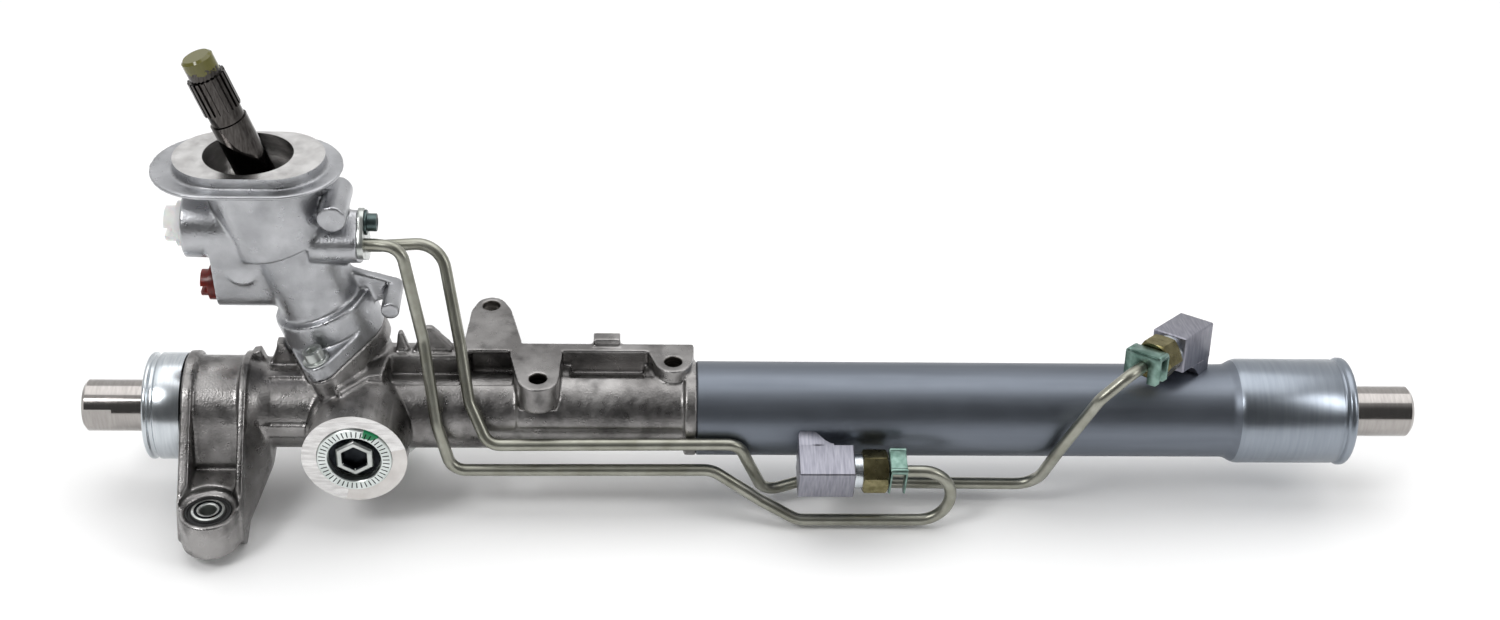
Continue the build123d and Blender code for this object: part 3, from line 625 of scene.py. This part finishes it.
casting = {
    "voxel": 0.75, "triangles": 185000,
    # passes of smoothing that round all edges, and those that blend the wide fillets
    "rounding": 7, "wideRounding": 14,
    # a machined face is lifted before the rounding and cut back after it
    "machinedLift": 3.0, "cutterTravel": 12,
    "shadingAngle": 50,
    "platformTop": 137.0, "barrelFace": 43.1, "barrelRadius": 30, "barrelCutter": 31,
    # faces this near a machined plane, and this square to it, belong to it
    "planeSlack": 0.3, "squareness": 0.9,
}


# The test picks the points of the wide fillets
def roundCasting(piece, isWide=None):
    applyModifier(piece, "REMESH", mode="VOXEL", voxel_size=casting["voxel"] * mm)
    if isWide:
        group = piece.vertex_groups.new(name="wideFillets")
        chosen = [vertex.index for vertex in piece.data.vertices if isWide(vertex.co / mm)]
        group.add(chosen, 1.0, "REPLACE")
        applyModifier(piece, "SMOOTH", factor=0.5, iterations=casting["wideRounding"],
                      vertex_group="wideFillets")
        piece.vertex_groups.clear()
    applyModifier(piece, "SMOOTH", factor=0.5, iterations=casting["rounding"])
    triangles = sum(len(face.vertices) - 2 for face in piece.data.polygons)
    if triangles > casting["triangles"]:
        applyModifier(piece, "DECIMATE", ratio=casting["triangles"] / triangles)


# Cuts one machined face clean across, with a round cutter's sweep
def machineFace(piece, plane, height, radius, centre=(0, 0)):
    sweep = [(height, radius), (height + casting["cutterTravel"], radius)]
    combine(piece, turnPiece("cutter", plane, sweep, centre=centre), "DIFFERENCE")


rackCasting = {
    # cradle at the clamp bracket: middle and radius of its two circles
    "saddle": [(0, 0, 25.7), (-27, -14, 3.5)],
    "bracket": (-86.2, -54.5), "saddleGap": 0.2,
    "neckRadius": 20.8, "neckEnd": 161.5, "neckOverlap": 1,
    "shoulder": [(-18, -8), (-7, -27), (4.7, -13.6), (12, -11.8), (14, 4.6), (52, 4.6), (52, 17),
                 (-10, 17)],
    "shoulderTop": 28,
    "joinRib": [(-54.5, 14), (-54.5, 27), (-50.5, 28), (-48, 21), (-45.8, 21), (-42.6, 29),
                (-42, 33), (-38.4, 33.2), (-35.7, 25.6), (-30, 14)],
    "joinRibDepth": (-14, -8),
    "fins": [[(22, 22), (31.8, 42.6), (35.3, 42.6), (45.2, 31.1), (46, 22)],
             [(16, 22), (18.2, 39), (20.5, 39.5), (26, 22)]],
    "finDepth": (-12, -8),
    # tag behind the plate, and the two raised bands on the neck
    "bands": [((115.5, 14, 20), (129, 21, 32)), ((-55, -21.8, -3.6), (-20, -15, 3.6)),
              ((-55, -4.9, 15), (-20, 0.4, 21.8))],
    # shell under the plate's front edge: a turned body, less what is below and behind it
    "panel": [(78, 21.9), (161.5, 21.9)],
    "panelCuts": [((70, -30, -30), (170, 30, 2.6)), ((70, -3.4, -30), (170, 30, 30))],
    # hollows round the core of the bar's tunnel: start, end, front, back, top
    "troughs": [(14, 50, -6.8, 4.6, 28.5), (53.5, 76, -7.0, 14, 25.4),
                (104, 141.5, -3.4, 10.2, 28.5)],
    "coreRadius": 17.4, "coreOverlap": 1,
    "bores": {
        "barBore": ("across", [(-60, 14), (191, 14)]),
        "pinionBore": ("leaning", [(-24, 10.3), (30, 10.3)]),
        "bearingBore": ("leaning", [(21, 17.5), (37, 17.5)]),
        "yokeBore": ("facing", [(0, 17), (50, 17)]),
    },
    # bored surfaces: inside which radius, and beyond which station
    "spigotBored": (20.5, -55), "barrelBored": (19, -25),
    # M10 holes: middles, radius of their walls, and between which heights
    "tapped": [(61.8, 50.8), (88.6, -13.7), (155.7, 1.4)], "tappedRadius": 4.8,
    "tappedBottom": 5, "tappedTop": 27.7,
}


def rackForms():
    rack = rackCasting
    left, right = rack["bracket"]
    gap = rack["saddleGap"]
    forms = [
        hullBlock("saddle", "across", rack["saddle"], left + gap, right - gap),
        turnPiece("neck", "across", [(right - rack["neckOverlap"], rack["neckRadius"]),
                                     (rack["neckEnd"], rack["neckRadius"])]),
        outlineBlock("shoulder", "ground", rack["shoulder"], 0, rack["shoulderTop"]),
        outlineBlock("joinRib", "facing", rack["joinRib"], *rack["joinRibDepth"]),
    ]
    forms += [outlineBlock("fin", "facing", fin, *rack["finDepth"]) for fin in rack["fins"]]
    forms += [boxBetween("raisedBand", low, high) for low, high in rack["bands"]]
    panel = turnPiece("panel", "across", rack["panel"])
    for low, high in rack["panelCuts"]:
        combine(panel, boxBetween("panelCut", low, high), "DIFFERENCE")
    return [*forms, panel]


def makeRackCasting():
    rack = rackCasting
    piece = copyNode("rackCasting", "rack_housing")
    for form in rackForms():
        combine(piece, form, "UNION")
    for start, end, front, back, top in rack["troughs"]:
        trough = boxBetween("trough", (start, front, 0), (end, back, top))
        core = turnPiece("core", "across", [(start - rack["coreOverlap"], rack["coreRadius"]),
                                            (end + rack["coreOverlap"], rack["coreRadius"])])
        combine(trough, core, "DIFFERENCE")
        combine(piece, trough, "DIFFERENCE")
    for name, (plane, outline) in rack["bores"].items():
        combine(piece, turnPiece(name, plane, outline), "DIFFERENCE")
    barrelFace, barrelRadius = casting["barrelFace"], casting["barrelRadius"]
    lift = casting["machinedLift"] * mm
    for vertex in piece.data.vertices:
        x, y, z = vertex.co / mm
        if y < 0.05 - barrelFace and math.hypot(x, z) < barrelRadius:
            vertex.co.y -= lift
    roundCasting(piece)
    machineFace(piece, "facing", barrelFace, casting["barrelCutter"])

    def isBarrelFace(p, n):
        return (n.y < -casting["squareness"] and p.y < casting["planeSlack"] - barrelFace
                and math.hypot(p.x, p.z) < barrelRadius)

    def isBored(p, n):
        spigotRadius, spigotEnd = rack["spigotBored"]
        yokeRadius, yokeStart = rack["barrelBored"]
        return ((p.x < spigotEnd and math.hypot(p.y, p.z) < spigotRadius)
                or (p.y < yokeStart and math.hypot(p.x, p.z) < yokeRadius))

    # the walls of the M10 holes, which get painted shade with lighter thread crests
    def isTapped(p, n):
        return (rack["tappedBottom"] < p.z < rack["tappedTop"] and any(
            math.hypot(p.x - x, p.y - y) < rack["tappedRadius"] for x, y in rack["tapped"]))
    dress(piece, ["castHousing", "turnedFace", "boredHole", "tappedHole"],
          isBarrelFace, isBored, isTapped)
    finishPiece(piece, "housing", "cast_aluminium", "rack_housing", angle=casting["shadingAngle"],
                flat=(1,))


valveCasting = {
    # flange outlines in the solid and on the real casting: middle, span, end radius
    "solidLedge": (-48.3, 25.0, 33.0), "ledge": (-48.3, 31.0, 30.0),
    "solidPlatform": (-48.3, 25.0, 23.5), "platform": (-46.75, 25.7, 23.0),
    "solidMiddle": 15.9, "middle": 14.6, "outlineSlack": 0.1,
    # heights in the solid and on the real casting, and which outline a height has points of
    "heights": {127.0: 129.3, 130.0: 131.4, 137.0: 137.0},
    "ledgeHeights": (127.0, 130.0), "platformHeights": (130.0, 137.0),
    "cutterRadius": 60, "cutterMiddle": (-47, 15),
    "pad": (-53.8, 78.4), "padRadius": 7.2, "padDepth": (-9, -1.9),
    # wide fillets of the tower, along its leaning axis and out from it
    "blendFrom": 50, "blendTo": 108, "blendLeft": -66, "blendInner": 17.6, "blendOuter": 30,
    "pocketFloor": 103, "pocketRadius": 20.9,
}


# Moves one flange outline's points from the solid's stadium to the casting's
def fitOutline(point, solid, wanted):
    centre, span, radius = solid
    newCentre, newSpan, newRadius = wanted
    side = 1 if point.x > centre else -1
    end = Vector((centre + side * span / 2, valveCasting["solidMiddle"]))
    arm = Vector((point.x, point.y)) - end
    if abs(arm.length - radius) > valveCasting["outlineSlack"]:
        return
    newEnd = Vector((newCentre + side * newSpan / 2, valveCasting["middle"]))
    point.x, point.y = newEnd + arm * (newRadius / radius)


def fitFlanges(piece):
    valve = valveCasting
    for vertex in piece.data.vertices:
        point = vertex.co / mm
        height = round(point.z, 1)
        if height not in valve["heights"]:
            continue
        if height in valve["ledgeHeights"]:
            fitOutline(point, valve["solidLedge"], valve["ledge"])
        if height in valve["platformHeights"]:
            fitOutline(point, valve["solidPlatform"], valve["platform"])
        point.z = valve["heights"][height]
        if height == casting["platformTop"]:
            point.z += casting["machinedLift"]
        vertex.co = point * mm


def makeValveCasting():
    valve = valveCasting
    piece = copyNode("valveCasting", "valve_housing")
    fitFlanges(piece)
    pad = turnPiece("pad", "facing", [(depth, valve["padRadius"]) for depth in valve["padDepth"]],
                    centre=valve["pad"])
    combine(piece, pad, "UNION")
    lean = planes["leaning"].inverted()

    # how far a place lies along the tower's leaning axis, and from it
    def alongAxis(p):
        local = lean @ (p * mm) / mm
        return local.z, math.hypot(local.x, local.y)

    def isBlended(p):
        station, reach = alongAxis(p)
        return (valve["blendFrom"] < station < valve["blendTo"] and p.x > valve["blendLeft"]
                and valve["blendInner"] < reach < valve["blendOuter"])
    roundCasting(piece, isBlended)
    machineFace(piece, "ground", casting["platformTop"], valve["cutterRadius"],
                centre=valve["cutterMiddle"])

    def isPlatform(p, n):
        return n.z > casting["squareness"] and p.z > casting["platformTop"] - casting["planeSlack"]

    def isPocket(p, n):
        station, reach = alongAxis(p)
        return station > valve["pocketFloor"] and reach < valve["pocketRadius"]
    dress(piece, ["blastedHousing", "milledFace", "boredHole"], isPlatform, isPocket)
    finishPiece(piece, "housing", "bright_cast_aluminium", "valve_housing",
                angle=casting["shadingAngle"], flat=(1,))


makeRackCasting()
print("rack casting rounded")
makeValveCasting()
print("valve casting rounded")

# smaller pieces

lockRing = {
    "inner": 13.1, "outer": 18.3, "back": 41.0, "face": 44.3, "edge": 0.4,
    # engraved ticks: how many, how wide beside their pitch, from and to which radius, how deep
    "ticks": 44, "tickShare": 0.25, "tickFrom": 14.0, "tickTo": 17.3, "tickDepth": 0.5,
    "shadeSlack": 0.1,
}


def makeLockRing():
    ring = lockRing
    back, front, edge, depth = ring["back"], ring["face"], ring["edge"], ring["tickDepth"]
    inner, outer = ring["inner"], ring["outer"]
    piece = turnPiece("lockRing", "facing", [
        (back, outer), (front - edge, outer), (front, outer - edge), (front, ring["tickTo"]),
        (front, ring["tickFrom"]), (front, inner + edge), (front - edge, inner), (back, inner),
        (back, outer),
    ], sides=4 * ring["ticks"])

    def isTick(face):
        x, y, z = face.center / mm
        turn = math.atan2(z, x) / (2 * math.pi) * ring["ticks"]
        return (face.normal.y < -0.99 and ring["tickFrom"] < math.hypot(x, z) < ring["tickTo"]
                and 0.0 <= turn % 1 < ring["tickShare"])
    ticks = [face.index for face in piece.data.polygons if isTick(face)]
    startEdit(piece)
    bpy.ops.mesh.select_mode(type="FACE")
    bpy.ops.mesh.select_all(action="DESELECT")
    endEdit()
    for index in ticks:
        piece.data.polygons[index].select = True
    bpy.ops.object.mode_set(mode="EDIT")
    bpy.ops.mesh.extrude_region_move(TRANSFORM_OT_translate={"value": (0, depth * mm, 0)})
    bpy.ops.mesh.select_mode(type="VERT")
    endEdit()

    # the faces sunk in the ticks, which get painted shade
    def isSunk(p, n):
        reach, slack = math.hypot(p.x, p.z), ring["shadeSlack"]
        return (front - 2 * depth < -p.y < front - depth / 10
                and ring["tickFrom"] - slack < reach < ring["tickTo"] + slack)
    dress(piece, ["ringSteel", "shadowSteel"], isSunk)
    finishPiece(piece, "housing", "zinc_steel", "lock_ring", angle=30)


plug = {
    # body with a groove round its hexagon, the groove's floor, and the hexagon with its socket
    "body": [(29, 16.9), (40.5, 16.9), (40.5, 12.9), (39.2, 12.6), (39.2, 9.0), (29, 9.0),
             (29, 16.9)],
    "floor": [(32.2, 9.2), (39.4, 9.2)],
    "hexagon": [(39.0, 10.3), (42.6, 10.3), (43.4, 9.3), (43.4, 7.4), (42.4, 6.5), (37.5, 6.5)],
    "bevel": 0.25,
    # what gets painted shade: the groove, the socket and its rim
    "grooveTop": 39.3, "socketRadius": 6.2, "rimTop": 42.3, "rimRadius": 6.6,
}


def makePlug():
    body = turnPiece("body", "facing", plug["body"])
    floor = turnPiece("floor", "facing", plug["floor"])
    hexagon = turnPiece("hexagon", "facing", plug["hexagon"], sides=6)
    bevelEdges(hexagon, plug["bevel"], angle=25)
    piece = joinPieces("adjusterPlug", [body, floor, hexagon])

    def isShaded(p, n):
        height, reach = -p.y, math.hypot(p.x, p.z)
        return (height < plug["grooveTop"] or reach < plug["socketRadius"]
                or (height < plug["rimTop"] and reach < plug["rimRadius"]))
    dress(piece, ["zincSteel", "shadowSteel"], isShaded)
    finishPiece(piece, "housing", "zinc_steel", "adjuster_plug", angle=30)


unionNut = {
    # the hexagon's two ends along the pipe, and its radius over the corners
    "start": 22.0, "end": 34.7, "corner": 10.97, "chamfer": 1.5, "chamferShare": 0.6,
    # the bright collar behind the hexagon
    "neck": 9.5, "neckGap": 0.3, "collarGap": 0.2,
    "bevel": 0.25,
}


def makeUnionNuts():
    start, end, corner, chamfer = [unionNut[key] for key in ("start", "end", "corner", "chamfer")]
    share, neckEnd = unionNut["chamferShare"], start - unionNut["neckGap"]
    for side in ("lower", "upper"):
        piece = copyNode(side + "UnionNut", side + "_union_nut")
        turned = turnPiece("turned", side + "Union", [
            (0, corner + 1), (neckEnd, corner + 1), (neckEnd, unionNut["neck"]),
            (start, corner - chamfer), (start + chamfer * share, corner),
            (end - chamfer * share, corner), (end, corner - chamfer), (end + 1, corner - chamfer),
        ])
        combine(piece, turned, "INTERSECT")
        bevelEdges(piece, unionNut["bevel"], angle=25)
        toUnion = planes[side + "Union"].inverted()
        dress(piece, ["oliveZinc", "brightRing"],
              lambda p, n: (toUnion @ (p * mm)).z / mm < start - unionNut["collarGap"])
        finishPiece(piece, "housing", "olive_zinc_steel", side + "_union_nut", angle=25)


# bent sheet clip behind each union nut: two leaves joined by a roof, with curled ears
clip = {
    "start": 35.5, "end": 44.0, "sheet": 1.0, "slot": 3.15, "earRadius": 1.7, "earWall": 0.8,
    # half width, and the heights of the top and the foot
    "lower": (8.0, 10.0, -10.0), "upper": (10.0, 8.0, -8.0),
    # cut-off corners, the step under the ears, and how far ears and roof stay inside
    "corner": 2, "step": 1, "earInset": 0.3, "roofInset": 0.2,
    # the roof between the ears, down from the top
    "roofBottom": 1.2, "roofTop": 0.2, "roofEnd": 1.5,
    "bevel": 0.3,
}


def makeClips():
    sheet, slot, ear = clip["sheet"], clip["slot"], clip["earRadius"]
    start, end, corner, step = clip["start"], clip["end"], clip["corner"], clip["step"]
    earStart, earHole = start + clip["earInset"], ear - clip["earWall"]
    arc = [(math.cos(math.radians(angle)) * slot, math.sin(math.radians(angle)) * slot)
           for angle in range(0, 181, 15)]
    for side in ("lower", "upper"):
        plane = side + "Union"
        half, top, foot = clip[side]

        # across and up on the clip, turned to the union's own plane
        def turned(points):
            return [(y, -x) if side == "lower" else (x, y) for x, y in points]
        leaf = turned([(slot, foot), (half - corner, foot), (half, foot + corner),
                       (half, top - corner), (half - step, top - step), (step - half, top - step),
                       (-half, top - corner), (-half, foot + corner), (corner - half, foot),
                       (-slot, foot), *arc[::-1]])
        parts = [outlineBlock("leaf", plane, leaf, end - sheet, end),
                 outlineBlock("leaf", plane, leaf, start, start + sheet)]
        for x in (ear - half, half - ear):
            parts.append(turnPiece("ear", plane, [
                (earStart, ear), (end, ear), (end, earHole), (earStart, earHole), (earStart, ear),
            ], sides=32, centre=turned([(x, top - ear)])[0]))
        roofHalf = half - clip["roofEnd"] * ear
        low, high = top - clip["roofBottom"], top - clip["roofTop"]
        roof = turned([(-roofHalf, low), (roofHalf, low), (roofHalf, high), (-roofHalf, high)])
        parts.append(outlineBlock("roof", plane, roof, start + clip["roofInset"],
                                  end - clip["roofInset"]))
        piece = joinPieces(side + "PipeClip", parts)
        bevelEdges(piece, clip["bevel"], angle=40)
        dress(piece, ["tealZinc"])
        finishPiece(piece, "housing", "zinc_steel", side + "_pipe_clip", angle=35)


caps = {
    # the slot across each cap's knob: middle, half width, start, end; then slot name and finish
    "white_cap": ((15.9, 97.9), 2.2, -90.5, -85.6, "white_plastic", "whitePlastic"),
    "red_cap": ((15.9, 63.9), 1.6, -77.0, -73.4, "red_plastic", "redPlastic"),
}
capCut = {"reach": 12, "bevel": 0.6}


def makeCaps():
    reach = capCut["reach"]
    for node, ((y, z), half, start, end, slot, finish) in caps.items():
        piece = copyNode(node.replace("_cap", "Cap"), node)
        cut = boxBetween("slot", (start, y - reach, z - half), (end, y + reach, z + half))
        combine(piece, cut, "DIFFERENCE")
        bevelEdges(piece, capCut["bevel"], segments=3)
        dress(piece, [finish])
        finishPiece(piece, "housing", slot, node, angle=35)


bush = {
    "middle": (-70.3, -57.7), "inner": 8.2, "outer": 11.4, "bottom": -39.4, "top": -21.0,
    # the rubber's rim: down from the top, and in from the outside or out from the hole
    "outerRim": [(0.6, 0), (0, 0.5), (0, 1.1), (0.9, 1.6)],
    "innerRim": [(0.9, 0.7), (0.1, 0.3), (0.1, 0)],
    # ring turned into the sleeve's end, up from the rubber's top, and the faces in it that get
    # painted shade
    "ring": [(0.3, 5.4), (1.2, 5.4), (1.2, 6.9), (0.3, 6.9), (0.3, 5.4)],
    "shadeInner": 5.3, "shadeOuter": 7.0, "shadeBelow": 0.5, "shadeAbove": 0.6,
    "sleeveBevel": 0.5,
}


def makeBush():
    inner, outer, bottom, top = bush["inner"], bush["outer"], bush["bottom"], bush["top"]
    middle = bush["middle"]
    piece = turnPiece("bracketBush", "ground", [
        (bottom, inner), (bottom, outer),
        *[(top - down, outer - inward) for down, inward in bush["outerRim"]],
        *[(top - down, inner + outward) for down, outward in bush["innerRim"]],
        (bottom, inner),
    ], centre=middle)
    dress(piece, ["blackRubber"])
    finishPiece(piece, "housing", "black_rubber", "bracket_bush", angle=30)
    sleeve = bevelNode("bracketSleeve", "bracket_sleeve", bush["sleeveBevel"])
    ring = turnPiece("ring", "ground", [(top + rise, radius) for rise, radius in bush["ring"]],
                     centre=middle)
    combine(sleeve, ring, "DIFFERENCE")

    def isShaded(p, n):
        reach = math.hypot(p.x - middle[0], p.y - middle[1])
        return (bush["shadeInner"] < reach < bush["shadeOuter"]
                and top - bush["shadeBelow"] < p.z < top + bush["shadeAbove"])
    dress(sleeve, ["zincSteel", "shadowSteel"], isShaded)
    finishPiece(sleeve, "housing", "zinc_steel", "bracket_sleeve", angle=30)


clamp = {
    "bevel": 0.5, "housingScrewBevel": 0.4,
    # the screw's six-lobed socket, given painted shade: middle, radius, and beyond which station
    "socket": (10, 103), "socketRadius": 2.3, "socketStart": 9,
}


def makeClamp():
    showBevelled("pipeClamp", "pipe_clamp", clamp["bevel"], "zincSteel", "zinc_steel")
    screw = bevelNode("pipeClampScrew", "pipe_clamp_screw", clamp["bevel"])
    y, z = clamp["socket"]
    dress(screw, ["darkZinc", "shadowSteel"],
          lambda p, n: (math.hypot(p.y - y, p.z - z) < clamp["socketRadius"]
                        and p.x > clamp["socketStart"]))
    finishPiece(screw, "housing", "zinc_steel", "pipe_clamp_screw", angle=30)
    showBevelled("housingScrews", "housing_screws", clamp["housingScrewBevel"], "zincSteel",
                 "zinc_steel")


tube = {
    "start": 167.7, "end": 502.4, "radius": 23.88, "bore": 21.4, "endChamfer": 0.6, "halfway": 300,
    "taper": 438.0, "cupStart": 446.3, "cupRadius": 26.85, "cupWall": 2.2, "flareSteps": 8,
    "bead": 497.5, "beadRadius": 27.7,
    # the groove before the bead: along from the bead, and out from the cup
    "groove": [(-2.5, 0), (-1.6, -0.5), (-0.8, -0.75), (0, -0.6), (0.7, 0.3)],
    "beadStart": 1.5, "beadEnd": 1.6,
    # the rolled lip: back from the end, and in from the bead or the cup
    "lip": (0.6, 0.5), "lipInner": 0.4,
    "burnishedFrom": 443, "sides": 160,
}


def makeTube():
    start, end, radius, bore = tube["start"], tube["end"], tube["radius"], tube["bore"]
    cup, bead, beadRadius = tube["cupRadius"], tube["bead"], tube["beadRadius"]
    cupBore = cup - tube["cupWall"]
    chamfer, (lipBack, lipIn), lipInner = tube["endChamfer"], tube["lip"], tube["lipInner"]
    # an S curve from the plain tube to the cup: stations and how much of the way is done
    shares = [step / tube["flareSteps"] for step in range(tube["flareSteps"] + 1)]
    flare = [(tube["taper"] + (tube["cupStart"] - tube["taper"]) * share,
              share * share * (3 - 2 * share)) for share in shares]
    piece = turnPiece("cylinderTube", "across", [
        (start, bore), (start, radius - chamfer), (start + chamfer, radius),
        (tube["halfway"], radius),
        *[(x, radius + (cup - radius) * rise) for x, rise in flare],
        *[(bead + along, cup + out) for along, out in tube["groove"]],
        (bead + tube["beadStart"], beadRadius), (end - tube["beadEnd"], beadRadius),
        (end - lipBack, beadRadius - lipIn), (end, cup - lipIn),
        (end, cupBore + lipInner), (end - lipInner, cupBore),
        *[(x, bore + (cupBore - bore) * rise) for x, rise in reversed(flare)],
        (start, bore),
    ], sides=tube["sides"])
    dress(piece, ["drawnTube", "rolledCup"], lambda p, n: p.x > tube["burnishedFrom"])
    finishPiece(piece, "housing", "tube_steel", "cylinder_tube", angle=40)


portBlock = {
    # the humped foot between block and tube, and the solid's plain one that it stands in for
    "foot": [(-9.4, 8), (8, 8), (8, 9.9), (6, 10.6), (3.5, 12.4), (1.5, 14.8), (-0.5, 17),
             (-3, 18.2), (-7, 18.4), (-8.8, 17.6), (-9.4, 16)],
    "plainFoot": [(-14, 9.7), (14, 9.7), (14, 24), (-14, 24)],
    "footHalf": 9.4, "plainHalf": 13, "footBevel": 0.3, "blockBevel": 0.25,
    "tubeCut": [(160, 23.9), (460, 23.9)],
}


def makeBlocks():
    half, plainHalf = portBlock["footHalf"], portBlock["plainHalf"]
    for side in ("lower", "upper"):
        plane = side + "Foot"
        block = copyNode(side + "PortBlock", side + "_port_block")
        plainFoot = outlineBlock("plainFoot", plane, portBlock["plainFoot"], -plainHalf, plainHalf)
        combine(block, plainFoot, "DIFFERENCE")
        mergeFlats(block)
        bevelEdges(block, portBlock["blockBevel"], angle=30)
        foot = outlineBlock("foot", plane, portBlock["foot"], -half, half)
        combine(foot, turnPiece("tubeCut", "across", portBlock["tubeCut"]), "DIFFERENCE")
        bevelEdges(foot, portBlock["footBevel"], angle=30)
        block = joinPieces(side + "PortBlock", [block, foot])
        dress(block, ["milledBlock"])
        finishPiece(block, "housing", "brushed_steel", side + "_port_block", angle=30)


bootSeat = {"bevel": 0.3}


def makeBootSeat():
    showBevelled("leftBootSeat", "left_boot_seat", bootSeat["bevel"], "brightRing",
                 "ground_steel")


for step, make in (("lock ring", makeLockRing), ("adjuster plug", makePlug),
                   ("union nuts", makeUnionNuts), ("pipe clips", makeClips), ("caps", makeCaps),
                   ("bush", makeBush), ("clamp and screws", makeClamp), ("tube", makeTube),
                   ("port blocks", makeBlocks), ("boot seat", makeBootSeat)):
    make()
    print(step, "ready")
